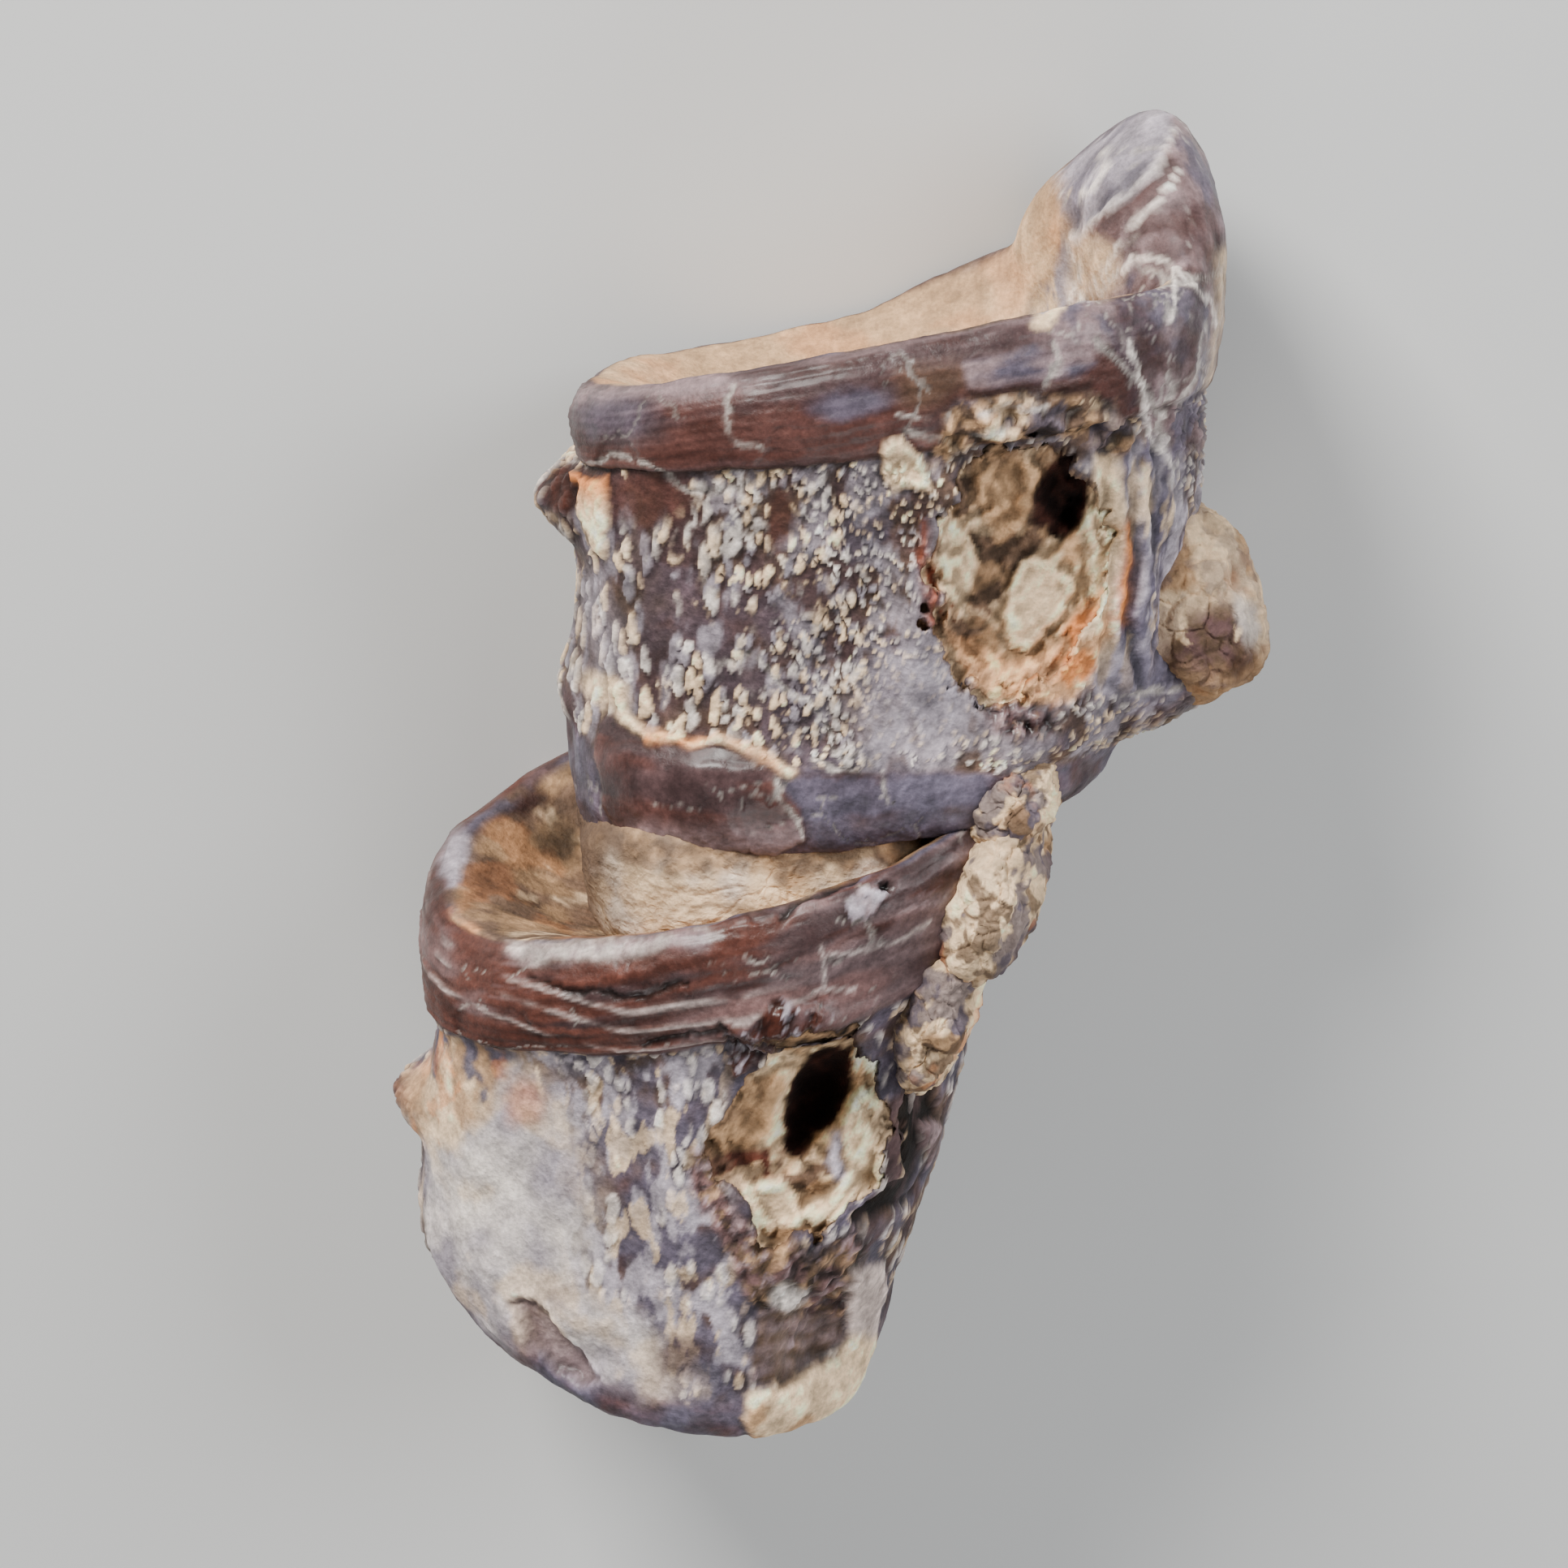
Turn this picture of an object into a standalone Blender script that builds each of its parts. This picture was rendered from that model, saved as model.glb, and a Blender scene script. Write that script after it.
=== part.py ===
"""Two joined back-bone discs of a large fossil fish, with the chalk that still holds them together.

Each disc (a centrum) is a short drum with a hollow cone in both ends, a thick glossy band round each end
and a narrower waist with a deep pit in its side. The pair is crushed: the discs lean, and the lower one is
pushed to the left of the upper one. It lies on its back, worn flat where it rests.

Metres in Blender, millimetres below. +X right, +Y towards the upper disc, +Z up; the pitted side faces +Z.
The origin is on the resting surface, under the middle of the object's box.
"""

import math
from collections import namedtuple

import bmesh
import bpy
import numpy as np
from mathutils import Matrix, Vector

MM = 0.001

# Sizes that drive the rest, in millimetres
GAP = 0.35
BOX_MIDDLE = (-0.12, -0.44, 0.0)
CHALK_INSET = 0.5
FRONT_CROWDING = 0.42
BODY_COLUMNS = 42
BODY_ROWS = 30
CUP_COLUMNS = 24
LUMP_SEGMENTS = 14
LUMP_RINGS = 8

# A ring is one closed section of a disc: its centre, half its width and depth, and how it is turned.
# roll lifts its right end, lean drops its front edge, yaw brings its right end forward, box fills its corners.
Ring = namedtuple("Ring", "x y z width depth roll lean yaw box")

UPPER_BAND = [
    Ring(5.1, 36.4, 18.5, 25.2, 19.0, 10.4, -7.5, 0, 0.03),
    Ring(5.0, 34.6, 18.5, 26.1, 20.4, 9.8, -7.0, 0, 0.03),
    Ring(4.9, 32.1, 18.5, 26.1, 20.6, 8.6, -4.5, 0, 0.03),
    Ring(4.7, 29.9, 18.4, 25.5, 20.0, 7.1, -2.0, 0, 0.03),
]
UPPER_WAIST = [
    Ring(4.3, 28.2, 18.2, 24.8, 19.1, 6.0, -2.0, 0, 0.03),
    Ring(4.2, 22.6, 18.0, 24.6, 18.4, 4.0, -1.0, 0, 0.03),
    Ring(3.6, 14.8, 18.0, 24.0, 17.9, 2.0, 0.0, 0, 0.03),
    Ring(2.6, 7.8, 18.0, 23.1, 17.7, 0.0, -1.0, 0, 0.03),
]
UPPER_FOOT = [
    Ring(1.4, 4.6, 18.0, 22.2, 18.2, -1.0, -2.0, 0, 0.03),
    Ring(0.9, 1.2, 18.0, 21.9, 18.2, 2.0, -2.0, 0, 0.03),
    Ring(0.8, -1.4, 18.0, 20.7, 17.0, 5.0, -2.0, 0, 0.02),
]
LOWER_BAND = [
    Ring(-7.5, -3.0, 19.3, 24.1, 20.2, 14.0, 11.0, 12, 0.02),
    Ring(-7.8, -5.5, 19.2, 25.2, 21.2, 13.5, 11.0, 12, 0.02),
    Ring(-8.4, -9.6, 18.9, 24.9, 21.2, 12.0, 10.0, 12, 0.02),
    Ring(-8.9, -13.2, 18.6, 23.9, 20.4, 9.5, 9.0, 12, 0.03),
]
LOWER_WAIST = [
    Ring(-9.0, -15.4, 18.2, 22.9, 19.6, 8.0, 8.0, 13, 0.03),
    Ring(-9.9, -21.0, 18.0, 22.6, 18.8, 4.0, 7.0, 14, 0.04),
    Ring(-11.1, -28.2, 17.8, 21.9, 18.0, -2.0, 7.0, 16, 0.04),
    Ring(-12.1, -35.5, 17.6, 20.2, 17.6, -8.0, 8.0, 18, 0.04),
]
LOWER_FOOT = [
    Ring(-12.4, -40.4, 17.5, 18.9, 17.6, -11.0, 8.0, 19, 0.03),
    Ring(-12.2, -43.9, 17.5, 18.0, 17.4, -12.0, 8.0, 20, 0.03),
    Ring(-12.0, -46.3, 17.5, 16.4, 16.2, -12.0, 8.0, 20, 0.02),
]

# The cup in each end: the lip's width, how deep the cup is, and the depth of the chalk's surface in it
LIP_WIDTH = 2.4
UPPER_CUP_DEPTH = 11.5
LOWER_CUP_DEPTH = 10.5
UPPER_FILL_DEPTH = 5.0
END_FILL_DEPTH = -1.2

# The horn: the upper band's right end, crushed upwards. Degrees round the band, and millimetres.
HORN_ANGLE = -19.0
HORN_SPREAD = 32.0
HORN_RISE = {"inner": 8.0, "lip": 12.2, "crown": 8.0, "band": 2.5}
HORN_THICKENING = {"inner": 5.0, "lip": 0.6, "crown": -1.9, "band": -1.1}

# A knob is a rounded swelling, or with a minus a hollow, of the bone: centre, radii and height
Knob = namedtuple("Knob", "centre radii height")

UPPER_KNOBS = [
    Knob((26.5, 9.0, 17.0), (7.0, 3.9, 8.5), 6.0),
    Knob((-21.5, 27.6, 18.0), (3.0, 1.6, 8.0), -0.8),
    Knob((-21.0, 22.8, 18.0), (4.0, 2.8, 7.0), 3.6),
    Knob((-20.5, 8.0, 18.0), (4.0, 2.8, 6.0), 1.6),
    Knob((-9.0, 37.5, 1.0), (12.0, 4.5, 7.0), -1.8),
    Knob((13.0, 41.0, 1.0), (9.5, 5.0, 8.0), 3.0),
    Knob((18.0, 7.0, 34.0), (5.5, 2.2, 5.0), 1.2),
    Knob((29.0, 26.0, 19.0), (4.0, 10.0, 10.0), 1.3),
    Knob((10.5, 27.4, 37.0), (8.0, 2.0, 6.0), 1.3),
    Knob((6.6, 17.0, 37.0), (1.8, 8.0, 6.0), 0.8),
    Knob((24.4, 17.0, 31.0), (1.8, 8.0, 6.0), 1.2),
    Knob((-10.0, 4.6, 35.0), (10.0, 2.4, 7.0), 0.9),
]
LOWER_KNOBS = [
    Knob((-31.0, -7.5, 12.0), (4.0, 4.5, 9.0), 1.3),
    Knob((-24.0, -3.6, 4.0), (9.0, 4.5, 8.0), 1.6),
    Knob((-34.0, -27.4, 14.0), (3.8, 2.4, 7.0), 4.2),
    Knob((-32.0, -38.0, 18.0), (5.0, 6.0, 9.0), 2.2),
    Knob((-28.0, -47.5, 18.0), (4.0, 2.8, 6.0), 1.4),
    Knob((-20.0, -44.0, 32.0), (4.0, 2.4, 5.0), -1.8),
    Knob((-1.0, -42.5, 31.0), (4.2, 4.6, 5.0), -2.6),
    Knob((9.0, -21.0, 31.0), (1.6, 5.5, 5.0), -2.2),
    Knob((10.0, -13.0, 34.0), (4.0, 3.0, 5.0), 1.0),
    Knob((-2.0, -13.4, 39.0), (6.0, 1.8, 6.0), 1.4),
    Knob((-11.4, -27.0, 36.0), (2.0, 10.0, 7.0), 1.1),
]

# The pits in the sides, as ellipsoids: centre, half sizes and turn in the picture plane
Pit = namedtuple("Pit", "centre half turn")

UPPER_PIT = Pit((15.8, 20.2, 33.5), (7.5, 9.8, 8.0), -8.0)
UPPER_BOWL = Pit((16.0, 20.0, 36.6), (6.1, 8.2, 5.6), -8.0)
UPPER_HOLE = Pit((17.9, 24.4, 31.5), (2.8, 4.2, 8.0), -10.0)
LOWER_PIT = Pit((-1.6, -25.6, 33.0), (7.0, 11.2, 11.0), -8.0)
LOWER_BOWL = Pit((-1.5, -25.8, 36.0), (5.4, 9.4, 6.0), -8.0)
LOWER_HOLE = Pit((-1.2, -23.0, 30.5), (3.2, 6.6, 11.0), -12.0)

# Chalk that sits outside the discs, as rough rounded lumps
JOINT_CHALK = Pit((-4.6, -4.0, 18.6), (14.8, 8.0, 15.6), 10.0)
EDGE_CHALK = [
    Pit((14.2, 2.6, 28.2), (4.6, 4.6, 8.0), 20.0),
    Pit((12.4, -5.6, 27.6), (4.3, 9.2, 10.8), -16.0),
    Pit((8.4, -14.6, 28.2), (3.5, 8.6, 9.8), -17.0),
]
SIDE_CHALK = Pit((27.8, 14.4, 17.5), (6.2, 7.8, 8.6), 28.0)
END_CHALK = Pit((-2.6, -47.0, 24.0), (5.6, 4.4, 7.6), 28.0)


def tilt_axes(ring):
    """The ring's own directions: right, front and along the spine, after it is turned."""
    roll, lean, yaw = (math.radians(a) for a in (ring.roll, ring.lean, ring.yaw))
    right = np.array([math.cos(roll) * math.cos(yaw), math.sin(roll), math.sin(yaw)])
    front = np.array([-math.sin(yaw), -math.sin(lean), math.cos(lean)])
    up = np.cross(front, right)
    return right, front, up / np.linalg.norm(up)


def sunk(ring, depth, share):
    """The ring moved into the disc by depth, and made smaller."""
    up = tilt_axes(ring)[2]
    x, y, z = np.array([ring.x, ring.y, ring.z]) - depth * up
    return ring._replace(x=x, y=y, z=z, width=ring.width * share, depth=ring.depth * share)


def ring_points(ring, angles):
    """Points round one ring. Angle 0 is its right end and 90 degrees its front."""
    right, front, _ = tilt_axes(ring)
    bulge = 1 - ring.box * np.cos(4 * angles)
    centre = np.array([ring.x, ring.y, ring.z])
    across = np.outer(ring.width * bulge * np.cos(angles), right)
    along = np.outer(ring.depth * bulge * np.sin(angles), front)
    return centre + across + along


def column_angles(columns):
    """Angles round a disc, closer together on the front."""
    even = np.linspace(0, 2 * math.pi, columns, endpoint=False)
    return even + FRONT_CROWDING * np.cos(even)


def horn_share(angles):
    """1 at the horn's middle, falling to 0 round the band."""
    away = (np.degrees(angles) - HORN_ANGLE + 180) % 360 - 180
    return np.exp(-(np.abs(away / HORN_SPREAD) ** 3.4))


def raise_horn(points, ring, angles, place):
    """Lifts the ring's right end into the horn, and draws its inner side towards the middle."""
    share = horn_share(angles)[:, None]
    right, _, up = tilt_axes(ring)
    return points + share * (HORN_RISE[place] * up - HORN_THICKENING[place] * right)


def smooth_rows(sections, rows):
    """Catmull-Rom through the sections, read at evenly spaced places along the profile."""
    steps = np.linalg.norm(np.diff(sections, axis=0), axis=2).mean(axis=1)
    knots = np.concatenate([[0], np.cumsum(np.sqrt(steps))])
    places = np.linspace(0, knots[-1], rows)
    span = np.clip(np.searchsorted(knots, places, side="right") - 1, 0, len(knots) - 2)
    t = ((places - knots[span]) / (knots[span + 1] - knots[span]))[:, None, None]
    last = len(sections) - 1
    p0, p1 = sections[np.maximum(span - 1, 0)], sections[span]
    p2, p3 = sections[span + 1], sections[np.minimum(span + 2, last)]
    return 0.5 * (
        2 * p1
        + (p2 - p0) * t
        + (2 * p0 - 5 * p1 + 4 * p2 - p3) * t**2
        + (3 * p1 - p0 - 3 * p2 + p3) * t**3
    )


def grid_normals(grid):
    """Outward directions of a grid whose rows are closed rings."""
    around = np.roll(grid, -1, axis=1) - np.roll(grid, 1, axis=1)
    down = np.gradient(grid, axis=0)
    normal = np.cross(around, down)
    return normal / np.maximum(np.linalg.norm(normal, axis=2, keepdims=True), 1e-9)


def shaped_by_knobs(grid, knobs):
    """Swells and hollows the grid by its knobs, along its own normals."""
    normal = grid_normals(grid)
    for knob in knobs:
        away = (grid - np.array(knob.centre)) / np.array(knob.radii)
        grid = grid + knob.height * np.exp(-(away**2).sum(axis=2, keepdims=True)) * normal
    return grid


def disc_sections(band, waist, foot, cup_depth, angles, horned):
    """The rings of one disc, from the middle of its top cup, over the side, to that of its bottom cup."""
    inner = 1 - LIP_WIDTH / band[0].width
    top = [(sunk(band[0], cup_depth, 0.03), None), (sunk(band[0], 0.86 * cup_depth, 0.25), None)]
    top += [(sunk(band[0], 0.42 * cup_depth, 0.62), None), (sunk(band[0], 0.3, inner), "inner")]
    side = list(zip(band, ("lip", "crown", "band", None))) + [(ring, None) for ring in waist + foot]
    low = [(sunk(foot[-1], -0.3, inner), None), (sunk(foot[-1], -0.42 * cup_depth, 0.60), None)]
    low += [(sunk(foot[-1], -0.86 * cup_depth, 0.25), None), (sunk(foot[-1], -cup_depth, 0.03), None)]
    sections = []
    for ring, place in top + side + low:
        points = ring_points(ring, angles)
        sections.append(raise_horn(points, ring, angles, place) if horned and place else points)
    return np.array(sections)


def disc_grid(band, waist, foot, cup_depth, knobs, horned, grow=0.0):
    """One disc as a grid of points from top to bottom, moved out by grow and cut off flat at the floor."""
    sections = disc_sections(band, waist, foot, cup_depth, column_angles(BODY_COLUMNS), horned)
    grid = shaped_by_knobs(smooth_rows(sections, BODY_ROWS), knobs)
    grid = grid + grow * grid_normals(grid)
    grid[..., 2] = np.maximum(grid[..., 2], min(0.0, -grow))
    return grid


def mesh_from_grid(name, grid):
    """A closed mesh from a grid of ring points, with a single point closing each end."""
    rows, columns = grid.shape[:2]
    points = np.concatenate([grid.reshape(-1, 3), [grid[0].mean(axis=0)], [grid[-1].mean(axis=0)]])
    index = np.arange(rows * columns).reshape(rows, columns)
    after = np.roll(index, -1, axis=1)
    quads = np.stack([index[:-1], after[:-1], after[1:], index[1:]], axis=2).reshape(-1, 4)
    top, low = rows * columns, rows * columns + 1
    faces = quads.tolist()
    faces += [(top, b, a) for a, b in zip(index[0], after[0])]
    faces += [(low, a, b) for a, b in zip(index[-1], after[-1])]
    mesh = bpy.data.meshes.new(name)
    mesh.from_pydata(((points - BOX_MIDDLE) * MM).tolist(), [], faces)
    shape = bmesh.new()
    shape.from_mesh(mesh)
    bmesh.ops.recalc_face_normals(shape, faces=shape.faces)
    bmesh.ops.triangulate(shape, faces=shape.faces)
    shape.to_mesh(mesh)
    shape.free()
    return mesh


def add_object(name, mesh, collection):
    made = bpy.data.objects.new(name, mesh)
    collection.objects.link(made)
    return made


def add_helper(name, mesh):
    """A cutter: it shapes other pieces and isn't one itself."""
    helper = add_object(name, mesh, helpers)
    helper.hide_render = True
    helper.display_type = "WIRE"
    return helper


def lump_mesh(name, pit, roughness=0.0, seed=0, shrink=0.0):
    """An ellipsoid of rock. roughness and shrink are millimetres: how lumpy it is, and how much smaller."""
    shape = bmesh.new()
    bmesh.ops.create_uvsphere(shape, u_segments=LUMP_SEGMENTS, v_segments=LUMP_RINGS, radius=1.0)
    phases = np.random.default_rng(seed).uniform(0, 2 * math.pi, (2, 3))
    for vertex in shape.verts:
        place = np.array(vertex.co)
        waves = np.sin(2.6 * place + phases[0]) + 0.6 * np.sin(5.1 * place + phases[1])
        vertex.co *= 1 + roughness / min(pit.half) * float(waves.sum()) / 2
    scale = Matrix.Diagonal([*((half - shrink) * MM for half in pit.half), 1.0])
    turn = Matrix.Rotation(math.radians(pit.turn), 4, "Z")
    place = Matrix.Translation((Vector(pit.centre) - Vector(BOX_MIDDLE)) * MM)
    bmesh.ops.transform(shape, matrix=place @ turn @ scale, verts=shape.verts)
    mesh = bpy.data.meshes.new(name)
    shape.to_mesh(mesh)
    shape.free()
    return mesh


def boolean(target, helper, operation):
    cut = target.modifiers.new(f"{operation.lower()} {helper.name}", "BOOLEAN")
    cut.object = helper
    cut.operation = operation
    cut.solver = "EXACT"


def finish(name, base_color, roughness):
    """A plain finish for one kind of material."""
    material = bpy.data.materials.new(name)
    material.use_nodes = True
    surface = material.node_tree.nodes["Principled BSDF"]
    surface.inputs["Base Color"].default_value = (*base_color, 1.0)
    surface.inputs["Roughness"].default_value = roughness
    return material


def plug_mesh(name, lip, inwards, cup_depth, surface_depth, horned):
    """A plug of chalk for a cup, a little larger than it. inwards is 1 for a top cup and -1 for a bottom one."""
    inner = 1 - LIP_WIDTH / lip.width
    shape = [(surface_depth, 0.03), (0.95 * surface_depth, 0.35), (0.7 * surface_depth + 0.4, 0.7)]
    shape += [(0.2 * surface_depth + 1.2, inner + 0.03), (0.42 * cup_depth + 1.6, 0.66)]
    shape += [(0.86 * cup_depth + 1.6, 0.28), (cup_depth + 1.2, 0.03)]
    angles = column_angles(CUP_COLUMNS)
    sections = []
    for depth, share in shape:
        ring = sunk(lip, inwards * depth, share)
        points = ring_points(ring, angles)
        edge = horned and share > inner
        sections.append(raise_horn(points, ring, angles, "inner") if edge else points)
    return mesh_from_grid(name, np.array(sections))


for old in list(bpy.data.objects):
    bpy.data.objects.remove(old)
parts = bpy.data.collections.new("fossil_fish_vertebrae")
helpers = bpy.data.collections.new("cutters")
for collection in (parts, helpers):
    bpy.context.scene.collection.children.link(collection)

bone_finish = finish("bone", (0.16, 0.10, 0.085), 0.42)
chalk_finish = finish("chalk", (0.56, 0.44, 0.28), 0.85)

UPPER = (UPPER_BAND, UPPER_WAIST, UPPER_FOOT, UPPER_CUP_DEPTH, UPPER_KNOBS, True)
LOWER = (LOWER_BAND, LOWER_WAIST, LOWER_FOOT, LOWER_CUP_DEPTH, LOWER_KNOBS, False)

# Helpers: each disc a gap larger, to clear its neighbours, and a little smaller, to set the pits' chalk back
upper_grown = mesh_from_grid("upper_clearance", disc_grid(*UPPER, grow=GAP))
lower_grown = mesh_from_grid("lower_clearance", disc_grid(*LOWER, grow=GAP))
upper_clearance = add_helper("upper_clearance", upper_grown)
lower_clearance = add_helper("lower_clearance", lower_grown)
upper_inset = add_helper("upper_inset", mesh_from_grid("upper_inset", disc_grid(*UPPER, grow=-CHALK_INSET)))
lower_inset = add_helper("lower_inset", mesh_from_grid("lower_inset", disc_grid(*LOWER, grow=-CHALK_INSET)))
upper_pit = add_helper("upper_pit", lump_mesh("upper_pit", UPPER_PIT))
lower_pit = add_helper("lower_pit", lump_mesh("lower_pit", LOWER_PIT))
upper_hole = add_helper("upper_hole", lump_mesh("upper_hole", UPPER_HOLE))
lower_hole = add_helper("lower_hole", lump_mesh("lower_hole", LOWER_HOLE))
upper_bowl = add_helper("upper_bowl", lump_mesh("upper_bowl", UPPER_BOWL, 0.5, 7))
lower_bowl = add_helper("lower_bowl", lump_mesh("lower_bowl", LOWER_BOWL, 0.5, 8))
middle_edge = add_helper("middle_edge", lump_mesh("middle_edge", EDGE_CHALK[1], 0.7, 5))
lower_edge = add_helper("lower_edge", lump_mesh("lower_edge", EDGE_CHALK[2], 0.5, 9))
end_lump = add_helper("end_lump", lump_mesh("end_lump", END_CHALK, 0.5, 6))

upper_vertebra = add_object("upper_vertebra", mesh_from_grid("upper_vertebra", disc_grid(*UPPER)), parts)
boolean(upper_vertebra, upper_pit, "DIFFERENCE")
lower_vertebra = add_object("lower_vertebra", mesh_from_grid("lower_vertebra", disc_grid(*LOWER)), parts)
boolean(lower_vertebra, upper_clearance, "DIFFERENCE")
boolean(lower_vertebra, lower_pit, "DIFFERENCE")

upper_plug = plug_mesh("upper_cup_chalk", UPPER_BAND[0], 1, UPPER_CUP_DEPTH, UPPER_FILL_DEPTH, True)
upper_cup_chalk = add_object("upper_cup_chalk", upper_plug, parts)
boolean(upper_cup_chalk, upper_clearance, "DIFFERENCE")

end_plug = plug_mesh("end_chalk", LOWER_FOOT[-1], -1, LOWER_CUP_DEPTH, END_FILL_DEPTH, False)
end_chalk = add_object("end_chalk", end_plug, parts)
boolean(end_chalk, end_lump, "UNION")
boolean(end_chalk, lower_clearance, "DIFFERENCE")

joint_chalk = add_object("joint_chalk", lump_mesh("joint_chalk", JOINT_CHALK, 0.6, 2), parts)
boolean(joint_chalk, upper_clearance, "DIFFERENCE")
boolean(joint_chalk, lower_clearance, "DIFFERENCE")

edge_chalk = add_object("edge_chalk", lump_mesh("edge_chalk", EDGE_CHALK[0], 0.6, 3), parts)
boolean(edge_chalk, middle_edge, "UNION")
boolean(edge_chalk, lower_edge, "UNION")
boolean(edge_chalk, upper_clearance, "DIFFERENCE")
boolean(edge_chalk, lower_clearance, "DIFFERENCE")

side_chalk = add_object("side_chalk", lump_mesh("side_chalk", SIDE_CHALK, 0.6, 4), parts)
boolean(side_chalk, upper_clearance, "DIFFERENCE")

upper_pit_chalk = add_object("upper_pit_chalk", lump_mesh("upper_pit_chalk", UPPER_PIT, shrink=GAP), parts)
boolean(upper_pit_chalk, upper_inset, "INTERSECT")
boolean(upper_pit_chalk, upper_bowl, "DIFFERENCE")
boolean(upper_pit_chalk, upper_hole, "DIFFERENCE")
lower_pit_chalk = add_object("lower_pit_chalk", lump_mesh("lower_pit_chalk", LOWER_PIT, shrink=GAP), parts)
boolean(lower_pit_chalk, lower_inset, "INTERSECT")
boolean(lower_pit_chalk, lower_bowl, "DIFFERENCE")
boolean(lower_pit_chalk, lower_hole, "DIFFERENCE")

for piece in (upper_vertebra, lower_vertebra):
    piece.data.materials.append(bone_finish)
chalk_pieces = [upper_cup_chalk, end_chalk, joint_chalk, edge_chalk, side_chalk, upper_pit_chalk, lower_pit_chalk]
for piece in chalk_pieces:
    piece.data.materials.append(chalk_finish)
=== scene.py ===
"""Two joined back-bone discs of a large fossil fish, in the chalk they were found in.

Each disc is a short drum of bone with a hollow cone in both ends, a thick glossy band round each end and a
rougher waist with a deep pit in its side. The pair lies on its worn back, pitted side up. Lengths are in
millimetres in a working frame (+X right, +Y towards the upper disc, +Z up) that is BOX_MIDDLE away from the
model's own. Places of marks are on the picture plane, in millimetres from its centre.
"""

import math
from collections import namedtuple

import bpy
import numpy as np
from mathutils import Matrix, Vector


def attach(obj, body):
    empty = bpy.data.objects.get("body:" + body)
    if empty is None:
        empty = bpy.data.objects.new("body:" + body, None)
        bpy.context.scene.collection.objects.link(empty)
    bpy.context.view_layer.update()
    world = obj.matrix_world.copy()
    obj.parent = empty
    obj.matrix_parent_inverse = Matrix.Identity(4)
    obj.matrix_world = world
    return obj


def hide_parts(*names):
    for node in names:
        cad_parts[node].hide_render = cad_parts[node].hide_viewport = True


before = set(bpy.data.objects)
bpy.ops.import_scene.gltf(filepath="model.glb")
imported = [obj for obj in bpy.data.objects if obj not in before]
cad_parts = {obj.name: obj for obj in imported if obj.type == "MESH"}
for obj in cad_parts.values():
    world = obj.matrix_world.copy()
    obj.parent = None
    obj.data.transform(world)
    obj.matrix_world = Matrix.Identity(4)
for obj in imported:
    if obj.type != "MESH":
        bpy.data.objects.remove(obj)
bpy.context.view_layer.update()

# Upper vertebra. The real piece is a spool-shaped body vertebra of fossil bone, brown and glossy on its two
# end bands. It grew in rings, and between the bands it is full of small cells that are now packed with chalk.
# When it was buried, its upper right end was crushed up into a horn.
# A millimetre in metres, and the middle of the model's box in the working frame
MM = 0.001
BOX_MIDDLE = np.array([-0.12, -0.44, 0.0])

# The picture: the camera looks down at the lying fossil, leant back by CAMERA_LEAN
CAMERA_LEAN = math.radians(17)
CAMERA_PLACE = np.array([-3.35, -0.65, 420.0])
PICTURE_MIDDLE = np.array([0.0, 0.0, 18.5])
CAMERA_WAY = np.array([0.0, math.sin(CAMERA_LEAN), math.cos(CAMERA_LEAN)])

# Colours, as linear red, green and blue
UMBER = (0.038, 0.011, 0.007)
CHESTNUT = (0.100, 0.032, 0.021)
PLUM = (0.068, 0.038, 0.038)
MAUVE = (0.280, 0.195, 0.200)
SLATE = (0.100, 0.086, 0.120)
HAZE = (0.360, 0.315, 0.355)
WHITE = (0.800, 0.710, 0.640)
CREAM = (0.880, 0.630, 0.390)
TAN = (0.460, 0.275, 0.145)
MUD = (0.120, 0.072, 0.046)
PEACH = (0.740, 0.400, 0.200)
ORANGE = (0.620, 0.215, 0.065)
RUST = (0.190, 0.044, 0.020)
DARK = (0.009, 0.005, 0.003)


def smooth(values, low, high):
    """0 below low, 1 above high and an eased step between them."""
    t = np.clip((values - low) / (high - low), 0, 1)
    return t * t * (3 - 2 * t)


def between(values, low, full, fade, high):
    """0 outside low to high, 1 from full to fade, and eased steps at both ends."""
    return smooth(values, low, full) * (1 - smooth(values, fade, high))


def hashed(cells, seed):
    """A number from 0 to 1 for each whole-number cell, the same each time: large primes mix its bits."""
    x, y, z = (cells[..., i].astype(np.int64) for i in range(3))
    mixed = (x * 73856093) ^ (y * 19349663) ^ (z * 83492791) ^ (seed * 2654435761)
    mixed = ((mixed ^ (mixed >> 13)) * 1274126177) & 0x7FFFFFFF
    mixed = ((mixed ^ (mixed >> 15)) * 2246822519) & 0x7FFFFFFF
    return ((mixed ^ (mixed >> 12)) & 0xFFFFF) / 0xFFFFF


# How far each layer of noise is turned against the one before
LAYER_TURN = np.array(Matrix.Rotation(math.radians(40), 3, Vector((1, 2, 2))))


def noise(places, seed=0):
    """Value noise from 0 to 1: random values at whole-number corners, eased between them."""
    cell = np.floor(places)
    ease = smooth(places - cell, 0, 1)
    total = np.zeros(places.shape[:-1])
    for corner in np.ndindex(2, 2, 2):
        share = np.prod(np.where(np.array(corner) == 1, ease, 1 - ease), axis=-1)
        total += share * hashed(cell + corner, seed)
    return total


def cloud(points, size, seed=0, layers=4):
    """Noise added up in layers, each turned and half the size and strength of the last. Centred on 0."""
    places = points / np.array(size) @ LAYER_TURN
    total = np.zeros(points.shape[:-1])
    for layer in range(layers):
        total += 0.8 * 0.5**layer * (2 * noise(places, seed + 17 * layer) - 1)
        places = 2 * places @ LAYER_TURN
    return total


def patchy(points, size, seed, low, high, layers=4):
    """Patches from the noise: 0 where it is below low, 1 above high."""
    return smooth(cloud(points, size, seed, layers), low, high)


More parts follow.
